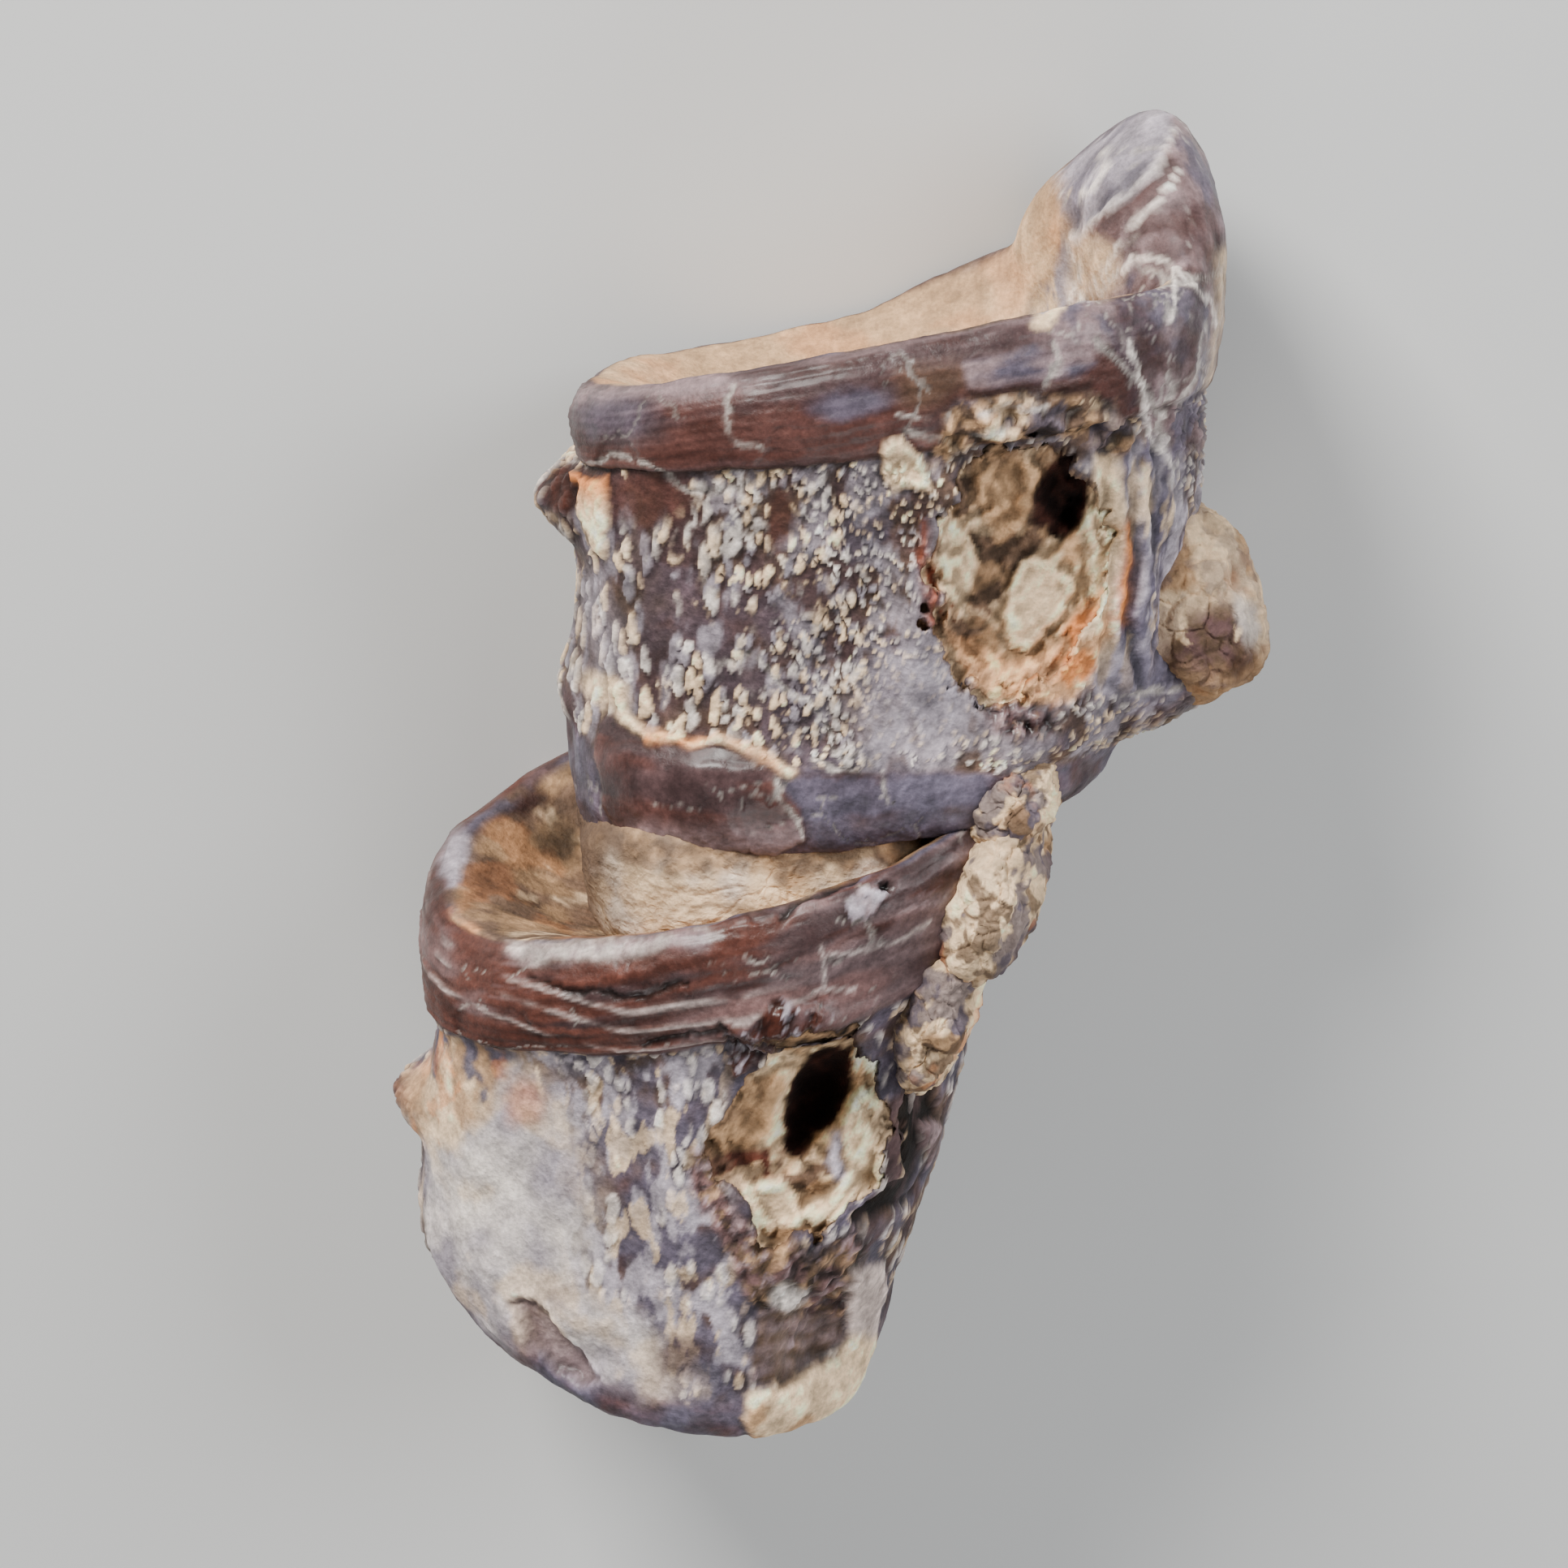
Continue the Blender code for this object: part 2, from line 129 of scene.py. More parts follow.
def beads(points, size, seed):
    """Distances to the two nearest of scattered centres, one in each cell, and the nearest one's number."""
    places = points / np.array(size)
    cell = np.floor(places)
    nearest = np.full(points.shape[:-1], 9.0)
    second = nearest.copy()
    number = np.zeros(points.shape[:-1])
    for step in np.ndindex(3, 3, 3):
        there = cell + (np.array(step) - 1)
        centre = there + np.stack([hashed(there, seed + i) for i in range(3)], axis=-1)
        away = np.linalg.norm(places - centre, axis=-1)
        closer = away < nearest
        second = np.where(closer, nearest, np.minimum(second, away))
        number = np.where(closer, hashed(there, seed + 7), number)
        nearest = np.where(closer, away, nearest)
    return nearest, second, number


def seen(points):
    """Where points fall on the picture plane, in millimetres from its centre."""
    x, y, z = np.moveaxis(points - PICTURE_MIDDLE, -1, 0)
    up = y * math.cos(CAMERA_LEAN) - z * math.sin(CAMERA_LEAN)
    near = y * math.sin(CAMERA_LEAN) + z * math.cos(CAMERA_LEAN)
    scale = CAMERA_PLACE[2] / (CAMERA_PLACE[2] - near)
    return np.stack([(x - CAMERA_PLACE[0]) * scale, (up - CAMERA_PLACE[1]) * scale], axis=-1)


def stroke(places, path, width):
    """1 on a path of straight pieces in the picture, fading out over width."""
    away = np.full(places.shape[:-1], 99.0)
    for start, end in zip(np.array(path)[:-1], np.array(path)[1:]):
        along = np.clip(((places - start) @ (end - start)) / np.dot(end - start, end - start), 0, 1)
        away = np.minimum(away, np.linalg.norm(places - start - along[..., None] * (end - start), axis=-1))
    return np.exp(-((away / width) ** 2))


def strokes(places, paths, width):
    """The strongest of several strokes at every point."""
    return np.max([stroke(places, path, width) for path in paths], axis=0)


def blot(places, x, y, wide, high, turn=0.0, edge=0.25):
    """1 inside an ellipse in the picture and 0 outside, with a soft edge. turn is in degrees."""
    a = math.radians(turn)
    dx, dy = places[..., 0] - x, places[..., 1] - y
    across, along = dx * math.cos(a) + dy * math.sin(a), -dx * math.sin(a) + dy * math.cos(a)
    return 1 - smooth(np.hypot(across / wide, along / high), 1 - edge, 1 + edge)


def plot(places, corners, edge=0.5):
    """1 inside a closed outline in the picture and 0 outside, eased over edge millimetres."""
    corners = np.array(corners)
    inside = np.zeros(places.shape[:-1], bool)
    away = np.full(places.shape[:-1], 99.0)
    for a, b in zip(corners, np.roll(corners, -1, axis=0)):
        crosses = (a[1] > places[..., 1]) != (b[1] > places[..., 1])
        slope = (b[0] - a[0]) / (b[1] - a[1] + 1e-9)
        inside ^= crosses & (places[..., 0] < a[0] + slope * (places[..., 1] - a[1]))
        along = np.clip(((places - a) @ (b - a)) / np.dot(b - a, b - a), 0, 1)
        away = np.minimum(away, np.linalg.norm(places - a - along[..., None] * (b - a), axis=-1))
    return smooth(np.where(inside, away, -away), -edge, edge)


def painted(tint, colour, mask):
    """The tint with a colour laid over it as far as the mask says."""
    tint = np.asarray(tint)
    return tint + np.clip(mask, 0, 1)[..., None] * (np.asarray(colour) - tint)


def layered(tint, layers):
    """The tint with each layer's colour laid over it in turn, as far as the layer's mask says."""
    for colour, mask in layers:
        tint = painted(tint, colour, mask)
    return tint


def specks_and_painted_shade(tint, points, seed, amount, relief=None):
    """The tint made lighter and darker in specks, and darker where the relief is lower than round about:
    painted shade in hollows, and painted light where it is higher.
    """
    shade = amount * (0.6 * cloud(points, 2.2, seed, 3) + 0.4 * cloud(points, 0.5, seed + 1, 2))
    if relief is not None:
        # Painted shade in hollows and painted light on ridges, from the relief against its surroundings
        around = sum(np.roll(relief, step, axis=axis) for step in (-3, 3) for axis in (0, 1)) / 4
        shade = shade + 2.5 * np.clip(relief - around, -0.3, 0.15)
    return tint * np.exp(shade)[..., None]


# A ring is one closed section of a disc: its centre, half its width and depth, and how it is turned.
# roll lifts its right end, lean drops its front edge, yaw brings its right end forward and box fills its
# corners.
Ring = namedtuple("Ring", "x y z width depth roll lean yaw box")
UPPER_BAND = [
    Ring(5.1, 36.4, 18.5, 25.2, 19.0, 10.4, -7.5, 0, 0.03),
    Ring(5.0, 34.6, 18.5, 26.1, 20.4, 9.8, -7.0, 0, 0.03),
    Ring(4.9, 32.1, 18.5, 26.1, 20.6, 8.6, -4.5, 0, 0.03),
    Ring(4.7, 29.9, 18.4, 25.5, 20.0, 7.1, -2.0, 0, 0.03),
]
UPPER_WAIST = [
    Ring(4.3, 28.2, 18.2, 24.8, 19.1, 6.0, -2.0, 0, 0.03),
    Ring(4.2, 22.6, 18.0, 24.6, 18.4, 4.0, -1.0, 0, 0.03),
    Ring(3.6, 14.8, 18.0, 24.0, 17.9, 2.0, 0.0, 0, 0.03),
    Ring(2.6, 7.8, 18.0, 23.1, 17.7, 0.0, -1.0, 0, 0.03),
]
UPPER_FOOT = [
    Ring(1.4, 4.6, 18.0, 22.2, 18.2, -1.0, -2.0, 0, 0.03),
    Ring(0.9, 1.2, 18.0, 21.9, 18.2, 2.0, -2.0, 0, 0.03),
    Ring(0.8, -1.4, 18.0, 20.7, 17.0, 5.0, -2.0, 0, 0.02),
]

# The lip round a cup and how deep the cup is
LIP_WIDTH = 2.4
UPPER_CUP_DEPTH = 11.5

# The back of the cup's rim stands higher in the picture than in the solids: where it is across, how wide that
# reaches, the height above the table where it ends, by how much it is raised, and the lip's section number
BACK_RIM_PLACE = 13.0
BACK_RIM_REACH = 7.0
BACK_RIM_TOP = 8.0
BACK_RIM_RISE = 1.8
LIP_ROW = 4

# The horn: the upper band's right end, crushed upwards. Degrees round the band, and millimetres.
HORN_ANGLE = -19.0
HORN_SPREAD = 32.0
HORN_RISE = {"inner": 8.0, "lip": 12.2, "crown": 8.0, "band": 2.5}
HORN_THICKENING = {"inner": 5.0, "lip": 0.6, "crown": -1.9, "band": -1.1}

# A knob is a rounded swelling, or with a minus a hollow, of the bone: centre, radii and height
Knob = namedtuple("Knob", "centre radii height")
UPPER_KNOBS = [
    Knob((26.5, 9.0, 17.0), (7.0, 3.9, 8.5), 6.0),
    Knob((-21.5, 27.6, 18.0), (3.0, 1.6, 8.0), -0.8),
    Knob((-21.0, 22.8, 18.0), (4.0, 2.8, 7.0), 3.6),
    Knob((-20.5, 8.0, 18.0), (4.0, 2.8, 6.0), 1.6),
    Knob((-9.0, 37.5, 1.0), (12.0, 4.5, 7.0), -1.8),
    Knob((13.0, 41.0, 1.0), (9.5, 5.0, 8.0), 3.0),
    Knob((18.0, 7.0, 34.0), (5.5, 2.2, 5.0), 1.2),
    Knob((29.0, 26.0, 19.0), (4.0, 10.0, 10.0), 1.3),
    Knob((10.5, 27.4, 37.0), (8.0, 2.0, 6.0), 1.3),
    Knob((6.6, 17.0, 37.0), (1.8, 8.0, 6.0), 0.8),
    Knob((24.4, 17.0, 31.0), (1.8, 8.0, 6.0), 1.2),
    Knob((-10.0, 4.6, 35.0), (10.0, 2.4, 7.0), 0.9),
]

# How the discs' sections are numbered, from the middle of the top cup down the side: 3 inner lip, 4 lip,
# 4 to 7 band, 7 to 12 waist, 12 to 14 foot, 15 lower inner lip, 18 the middle of the bottom cup. The first
# list spaces the rows of points from section to section, and the number crowds the columns to the front.
ROW_CLOSENESS = [0.2, 0.3, 0.6, 1.0] + [1.0] * 11 + [0.4, 0.15, 0.15]
DISC_CROWDING = 0.58


def tilt_axes(ring):
    """The ring's own directions: right, front and along the spine, after it is turned."""
    roll, lean, yaw = (math.radians(a) for a in (ring.roll, ring.lean, ring.yaw))
    right = np.array([math.cos(roll) * math.cos(yaw), math.sin(roll), math.sin(yaw)])
    front = np.array([-math.sin(yaw), -math.sin(lean), math.cos(lean)])
    up = np.cross(front, right)
    return right, front, up / np.linalg.norm(up)


def sunk(ring, depth, share):
    """The ring moved into the disc by depth, and made smaller."""
    up = tilt_axes(ring)[2]
    x, y, z = np.array([ring.x, ring.y, ring.z]) - depth * up
    return ring._replace(x=x, y=y, z=z, width=ring.width * share, depth=ring.depth * share)


def ring_points(ring, angles):
    """Points round one ring, an ellipse with filled corners. 0 is its right end, 90 degrees its front."""
    right, front, _ = tilt_axes(ring)
    bulge = 1 - ring.box * np.cos(4 * angles)
    centre = np.array([ring.x, ring.y, ring.z])
    across = np.outer(ring.width * bulge * np.cos(angles), right)
    along = np.outer(ring.depth * bulge * np.sin(angles), front)
    return centre + across + along


def column_angles(columns):
    """Angles round a disc, closer together on the front."""
    even = np.linspace(0, 2 * math.pi, columns, endpoint=False)
    return even + DISC_CROWDING * np.cos(even)


def raise_horn(points, ring, angles, place):
    """Lifts the ring's right end into the horn, by a bell curve of the angle from the horn's middle."""
    away = (np.degrees(angles) - HORN_ANGLE + 180) % 360 - 180
    share = np.exp(-(np.abs(away / HORN_SPREAD) ** 3.4))[:, None]
    right, _, up = tilt_axes(ring)
    return points + share * (HORN_RISE[place] * up - HORN_THICKENING[place] * right)


def disc_sections(band, waist, foot, cup_depth, angles, horned):
    """One disc's rings as points, from the middle of its top cup over the side to that of its bottom cup."""
    inner = 1 - LIP_WIDTH / band[0].width
    top = [(sunk(band[0], cup_depth, 0.03), None), (sunk(band[0], 0.86 * cup_depth, 0.25), None)]
    top += [(sunk(band[0], 0.42 * cup_depth, 0.62), None), (sunk(band[0], 0.3, inner), "inner")]
    side = list(zip(band, ("lip", "crown", "band", None))) + [(ring, None) for ring in waist + foot]
    low = [(sunk(foot[-1], -0.3, inner), None), (sunk(foot[-1], -0.42 * cup_depth, 0.60), None)]
    low += [(sunk(foot[-1], -0.86 * cup_depth, 0.25), None), (sunk(foot[-1], -cup_depth, 0.03), None)]
    sections = []
    for ring, place in top + side + low:
        points = ring_points(ring, angles)
        sections.append(raise_horn(points, ring, angles, place) if horned and place else points)
    return np.array(sections)


def row_places(sections, rows):
    """Places down the profile as section numbers, evenly spaced by length times ROW_CLOSENESS."""
    steps = np.linalg.norm(np.diff(sections, axis=0), axis=2).mean(axis=1) * ROW_CLOSENESS
    knots = np.concatenate([[0], np.cumsum(steps)])
    return np.interp(np.linspace(0, knots[-1], rows), knots, np.arange(len(sections)))


def down_profile(sections, places):
    """Catmull-Rom curves through the sections, read at the given section numbers."""
    last = len(sections) - 1
    span = np.clip(places.astype(int), 0, last - 1)
    t = (places - span)[:, None, None]
    p0, p1 = sections[np.maximum(span - 1, 0)], sections[span]
    p2, p3 = sections[span + 1], sections[np.minimum(span + 2, last)]
    return 0.5 * (
        2 * p1
        + (p2 - p0) * t
        + (2 * p0 - 5 * p1 + 4 * p2 - p3) * t**2
        + (3 * p1 - p0 - 3 * p2 + p3) * t**3
    )


def grid_normals(grid):
    """Outward directions of a grid whose rows are closed rings."""
    around = np.roll(grid, -1, axis=1) - np.roll(grid, 1, axis=1)
    down = np.gradient(grid, axis=0)
    normal = np.cross(around, down)
    return normal / np.maximum(np.linalg.norm(normal, axis=2, keepdims=True), 1e-9)


def shaped_by_knobs(grid, knobs):
    """Swells and hollows the grid by its knobs, along its own normals, each falling off as a bell curve."""
    normal = grid_normals(grid)
    for knob in knobs:
        away = (grid - np.array(knob.centre)) / np.array(knob.radii)
        grid = grid + knob.height * np.exp(-(away**2).sum(axis=2, keepdims=True)) * normal
    return grid


def disc_grid(band, waist, foot, cup_depth, knobs, horned):
    """One disc as a grid of points, and the section number of each row."""
    sections = disc_sections(band, waist, foot, cup_depth, column_angles(DISC_COLUMNS), horned)
    places = row_places(sections, DISC_ROWS)
    return shaped_by_knobs(down_profile(sections, places), knobs), places


def add_surface(name, grid, tint, gloss, node, material):
    """A closed mesh from rings of points, a point closing each end, with its tint and gloss stored on it."""
    rows, columns = grid.shape[:2]
    grid = grid.copy()
    grid[..., 2] = np.maximum(grid[..., 2], 0.0)
    points = np.concatenate([grid.reshape(-1, 3), [grid[0].mean(axis=0)], [grid[-1].mean(axis=0)]])
    index = np.arange(rows * columns).reshape(rows, columns)
    after = np.roll(index, -1, axis=1)
    quads = np.stack([index[:-1], after[:-1], after[1:], index[1:]], axis=2).reshape(-1, 4)
    top = np.stack([np.full(columns, rows * columns), after[0], index[0]], axis=1)
    low = np.stack([np.full(columns, rows * columns + 1), index[-1], after[-1]], axis=1)
    mesh = bpy.data.meshes.new(name)
    mesh.from_pydata(((points - BOX_MIDDLE) * MM).tolist(), [], quads.tolist() + top.tolist() + low.tolist())
    mesh.polygons.foreach_set("use_smooth", np.ones(len(mesh.polygons), bool))
    shade = np.concatenate([tint.reshape(-1, 3), [tint[0].mean(axis=0)], [tint[-1].mean(axis=0)]])
    shade = np.column_stack([np.clip(shade, 0, 1), np.ones(len(shade))])
    mesh.attributes.new("tint", "FLOAT_COLOR", "POINT").data.foreach_set("color", shade.ravel())
    shine = np.concatenate([gloss.ravel(), [gloss[0].mean(), gloss[-1].mean()]])
    mesh.attributes.new("gloss", "FLOAT", "POINT").data.foreach_set("value", np.clip(shine, 0, 1))
    mesh.materials.append(material)
    mesh.update()
    made = bpy.data.objects.new(name, mesh)
    bpy.context.scene.collection.objects.link(made)
    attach(made, "root")
    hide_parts(node)


class Socket:
    """One output of a material's node, with arithmetic on it written as ordinary operators."""

    def __init__(self, tree, output):
        self.tree, self.output = tree, output

    def node(self, kind, inputs, **settings):
        """Adds a node of that kind, feeds its inputs and returns its first shown output."""
        node = self.tree.nodes.new(kind)
        for key, value in settings.items():
            setattr(node, key, value)
        for key, value in inputs.items():
            if isinstance(value, Socket):
                self.tree.links.new(value.output, node.inputs[key])
            else:
                node.inputs[key].default_value = value
        return Socket(self.tree, next(output for output in node.outputs if output.enabled))

    def math(self, operation, first, second=0.0):
        return self.node("ShaderNodeMath", {0: first, 1: second}, operation=operation)

    def __add__(self, other):
        return self.math("ADD", self, other)

    def __sub__(self, other):
        return self.math("SUBTRACT", self, other)

    def __mul__(self, other):
        return self.math("MULTIPLY", self, other)

    def __rsub__(self, other):
        return self.math("SUBTRACT", other, self)

    __radd__ = __add__
    __rmul__ = __mul__

    def ramp(self, low, high, start=0.0, end=1.0):
        """start where this is low, end where it is high, and a straight line between."""
        values = {"Value": self, "From Min": low, "From Max": high, "To Min": start, "To Max": end}
        return self.node("ShaderNodeMapRange", values)


def new_material(name):
    """A material's tree, its surface shader and the object coordinates as a Socket."""
    material = bpy.data.materials.new(name)
    material.use_nodes = True
    tree = material.node_tree
    place = tree.nodes.new("ShaderNodeTexCoord")
    return material, tree, tree.nodes["Principled BSDF"], Socket(tree, place.outputs["Object"])


def attribute(tree, name, kind):
    """A value stored on the mesh: kind is Color or Fac."""
    node = tree.nodes.new("ShaderNodeAttribute")
    node.attribute_name = name
    return Socket(tree, node.outputs[kind])


def stone(name, rough, shiny, grain, bump, coat):
    """Fossil stone: the mesh's own tint, broken up by fine grain, and as glossy as the mesh says."""
    material, tree, surface, place = new_material(name)
    tint, gloss = attribute(tree, "tint", "Color"), attribute(tree, "gloss", "Fac")
    fine = place.node(
        "ShaderNodeTexNoise", {"Vector": place, "Scale": 2600.0, "Detail": 5.0, "Roughness": 0.65}
    )
    mottle = place.node(
        "ShaderNodeTexNoise", {"Vector": place, "Scale": 700.0, "Detail": 4.0, "Roughness": 0.6}
    )
    specks = place.node("ShaderNodeTexVoronoi", {"Vector": place, "Scale": 1900.0}, feature="F1")
    light = (
        fine.ramp(0.3, 0.7, 1 - grain, 1 + grain) * mottle.ramp(0.3, 0.7, 1 - 0.7 * grain, 1 + 0.7 * grain)
    )
    colour = tint.node("ShaderNodeVectorMath", {0: tint, "Scale": light}, operation="SCALE")
    tree.links.new(colour.output, surface.inputs["Base Color"])
    dull = gloss.ramp(0.0, 1.0, rough, shiny) + mottle.ramp(0.3, 0.7, -0.07, 0.07)
    tree.links.new(dull.output, surface.inputs["Roughness"])
    tree.links.new((gloss * coat).output, surface.inputs["Coat Weight"])
    surface.inputs["Coat Roughness"].default_value = 0.22
    surface.inputs["Specular IOR Level"].default_value = 0.25
    height = fine * 0.45 + mottle * 0.6 + specks * 0.25
    calm = gloss.ramp(0.0, 1.0, 1.0, 0.3)
    raised = place.node("ShaderNodeBump", {"Height": height * calm, "Distance": bump * MM, "Strength": 1.0})
    tree.links.new(raised.output, surface.inputs["Normal"])
    return material


bone_finish = stone("fossil bone", 0.72, 0.32, 0.24, 0.24, 0.2)

DISC_COLUMNS = 430
DISC_ROWS = 218
# How many millimetres one section number counts as, where a pattern runs along a band
UPPER_ROW_LENGTH = 3.4

# A side pit on the picture plane: its middle, half sizes, turn in degrees and depth, and the same for the
# hole in its chalk
PIT_FIELDS = "x y wide high turn depth hole_x hole_y hole_wide hole_high hole_turn hole_depth"
SeenPit = namedtuple("SeenPit", PIT_FIELDS)
UPPER_PIT_SEEN = SeenPit(18.7, 17.7, 7.0, 10.6, -8, 4.6, 22.5, 23.4, 2.0, 2.9, -14, 2.6)
# Where the lining meets the bone as a share of the pit's radius, and how far the bone stays below it
LINING_EDGE = 0.93
BONE_CLEARANCE = 0.9


def pit_radius(points, x, y, wide, high, turn, seed):
    """0 in the middle of a ragged ellipse in the picture and 1 on its edge."""
    a = math.radians(turn)
    dx, dy = np.moveaxis(seen(points) - (x, y), -1, 0)
    across, along = dx * math.cos(a) + dy * math.sin(a), -dx * math.sin(a) + dy * math.cos(a)
    return (
        np.hypot(across / wide, along / high)
        * (1 + 0.2 * cloud(points, 3.0, seed) + 0.09 * cloud(points, 1.0, seed))
    )


def pit_floor(points, pit):
    """The pit's radius, its chalk's depth (half an ellipsoid in ledges, with a steep hole) and the hole."""
    radius = pit_radius(points, *pit[:5], 201)
    hole = np.exp(-(pit_radius(points, *pit[6:11], 202) ** 4))
    rough = 0.9 * cloud(points, 4.0, 203, 2) + 0.15 * cloud(points, 0.9, 204)
    bowl = pit.depth * np.sqrt(np.clip(1 - radius**2, 0, 1))
    bowl = bowl + 0.25 * np.sin(4.5 * bowl + 4 * cloud(points, 4.0, 205))
    bowl = bowl + rough * smooth(1 - radius, 0.0, 0.3)
    return radius, np.maximum(bowl + pit.hole_depth * hole, 0), hole


def broad_swell(disc, height, seed):
    """The disc made a little uneven all over."""
    return disc + height * cloud(disc, 8.0, seed, 3)[..., None] * grid_normals(disc)


def wandering(disc, seed):
    """Two numbers for every point that wander round 0, to make the edges of marks ragged."""
    return np.stack([cloud(disc, 2.6, seed + 3), cloud(disc, 2.6, seed + 9)], axis=-1)


def ragged_places(disc, seed):
    """Where the disc's points fall on the picture plane, moved about so that marks get ragged edges."""
    fine = np.stack([cloud(disc, 0.6, seed + 4), cloud(disc, 0.6, seed + 5)], axis=-1)
    return seen(disc) + 0.55 * wandering(disc, seed) + 0.16 * fine


def facing_camera(disc):
    """1 where the disc's surface faces the camera, 0 where it turns away."""
    return smooth(grid_normals(disc) @ CAMERA_WAY, 0.0, 0.3)


def back_rim(points):
    """1 at the back of the upper cup's rim and less round about: a bell curve across, and eased by height."""
    across = (points[..., 0] - BACK_RIM_PLACE) / BACK_RIM_REACH
    return np.exp(-(across**2)) * smooth(BACK_RIM_TOP - points[..., 2], 0, BACK_RIM_TOP - 2)


def carved(disc, relief, floor, pit):
    """The disc with its relief along its normals, and with its pit sunk away from the camera."""
    return (
        disc + relief[..., None] * grid_normals(disc)
        - ((floor + BONE_CLEARANCE) * pit)[..., None] * CAMERA_WAY
    )


upper, upper_rows = disc_grid(UPPER_BAND, UPPER_WAIST, UPPER_FOOT, UPPER_CUP_DEPTH, UPPER_KNOBS, True)
upper = broad_swell(upper, 0.4, 11)
here = ragged_places(upper, 0)
facing = facing_camera(upper)
row = upper_rows[:, None] + 0.22 * cloud(upper, 9.0, 21) + 0.05 * cloud(upper, 1.2, 22)
along = np.stack([upper[..., 0], UPPER_ROW_LENGTH * row, upper[..., 2]], axis=-1)

UPPER_CRACKS = [
    [(-17.2, 26.0), (-15.2, 25.4), (-13.3, 25.9), (-10.7, 25.2),
     (-7.5, 23.6), (-5.5, 23.4), (-1.7, 23.8), (2.2, 25.4)],
    [(-4.3, 31.5), (-4.7, 30.1), (-4.5, 28.1), (-3.6, 27.0), (-2.0, 26.5)],
    [(24.8, 35.2), (26.7, 33.6), (28.6, 31.4), (29.9, 29.1), (30.6, 26.2)],
    [(30.3, 32.6), (30.7, 31.0), (29.9, 29.3)],
    [(28.0, 41.7), (29.6, 40.1), (31.5, 39.7), (34.5, 40.7)],
    [(29.6, 40.1), (30.6, 37.8), (29.6, 35.2)],
    [(30.6, 37.8), (33.2, 36.5), (32.8, 33.3), (31.2, 30.1)],
    [(30.6, 27.8), (31.2, 25.5), (30.9, 23.6)],
    [(9.6, 29.3), (12.8, 29.4)],
    [(15.4, 29.6), (19.0, 30.1), (21.2, 30.3)],
    [(9.9, 27.9), (13.2, 27.7), (17.0, 28.3)],
    [(-6.2, 9.4), (-2.0, 10.1), (-1.0, 8.5), (0.3, 7.2), (1.5, 6.8), (2.8, 5.5), (3.8, 3.9)],
    [(2.2, 2.3), (4.5, 1.4), (8.0, 1.0)],
    [(3.8, 3.0), (5.4, 1.9), (6.4, 3.0), (7.7, 1.0)],
    [(-0.5, 0.7), (-0.1, -0.9), (0.6, -2.5), (1.2, -4.1)],
    [(8.0, 0.5), (8.6, -1.5)],
    [(26.7, 6.8), (30.6, 7.8), (32.5, 8.5)],
    [(21.2, 35.2), (21.7, 33.6), (21.3, 32.0)],
]
HORN_RIDGE = [(31.1, 52.0), (29.9, 49.4), (28.0, 47.4), (25.3, 45.3), (23.0, 43.3)]
HORN_LINES = [
    [(27.7, 41.9), (29.2, 41.8), (30.8, 40.7), (32.0, 40.1), (33.2, 38.9)],
    [(24.4, 38.9), (25.7, 40.1), (27.7, 41.5)],
    [(23.5, 38.1), (24.8, 40.4), (27.0, 43.0), (28.0, 43.2)],
    [(27.7, 44.3), (29.3, 45.4), (30.6, 47.2), (31.4, 49.1)],
    [(27.7, 35.2), (28.1, 32.5), (29.0, 28.3), (30.8, 25.8)],
    [(33.2, 38.9), (34.1, 38.1), (34.5, 36.5)],
    [(30.8, 40.7), (31.2, 38.5), (30.6, 36.5)],
    [(22.2, 43.0), (23.5, 41.0), (23.0, 38.3)],
    [(25.4, 50.7), (24.8, 48.5), (23.5, 46.8)],
]
JAGGED_EDGE = [(-13.8, 8.3), (-12.6, 5.5), (-10.7, 3.9), (-7.5, 3.1), (-5.5, 3.9), (-2.3, 2.6), (0.4, 1.2)]

# Where each part of the bone lies, as masks from 0 to 1
band = between(row, 3.7, 3.95, 7.0, 7.2)
foot = between(row, 11.75, 12.0, 14.4, 14.8)
wall = between(row, 7.0, 7.25, 11.7, 12.0)
cup = 1 - smooth(row, 3.2, 3.6)
under = smooth(row, 14.6, 15.0)
cracks = facing * strokes(here, UPPER_CRACKS, 0.2)
cracks = cracks * patchy(upper, 2.0, 23, -0.6, 0.0)
plate = facing * plot(here, [
    (-14.9, 4.8), (-13.3, 5.9), (-10.7, 4.1), (-7.5, 3.1), (-4.3, 3.3), (-0.4, 1.2), (1.2, -2.2),
    (1.5, -4.5), (-1.0, -5.4), (-7.5, -5.4), (-12.0, -4.1), (-14.3, -1.7), (-15.2, 2.0)
], 0.25)
strip = facing * plot(here, [
    (-0.3, 1.0), (8.0, 0.3), (15.9, 0.7), (16.3, -1.2), (8.6, -2.3), (1.5, -2.5)
], 0.3)
jagged = facing * stroke(here, JAGGED_EDGE, 0.42)
crumbs = facing * plot(here, [
    (12.8, 29.7), (16.1, 30.5), (20.9, 30.8), (26.1, 30.5), (27.9, 27.5), (26.6, 26.2), (23.5, 27.2),
    (18.3, 27.5), (15.1, 27.0), (13.2, 26.2), (11.9, 24.3), (11.2, 26.2)
], 0.6)
lump = facing * plot(here, [
    (7.4, 24.6), (8.0, 26.8), (9.6, 27.3), (11.1, 25.2), (11.4, 23.5), (8.5, 23.5)
], 0.35)
tooth = facing * plot(here, [
    (-16.3, 24.4), (-14.3, 24.3), (-13.9, 21.0), (-14.5, 17.7), (-15.4, 18.1), (-16.1, 21.0)
], 0.3)
ribs = facing * plot(here, [
    (24.9, 27.2), (30.6, 27.5), (32.0, 21.0), (31.2, 13.3), (28.0, 7.5), (24.8, 8.1)
], 0.9)
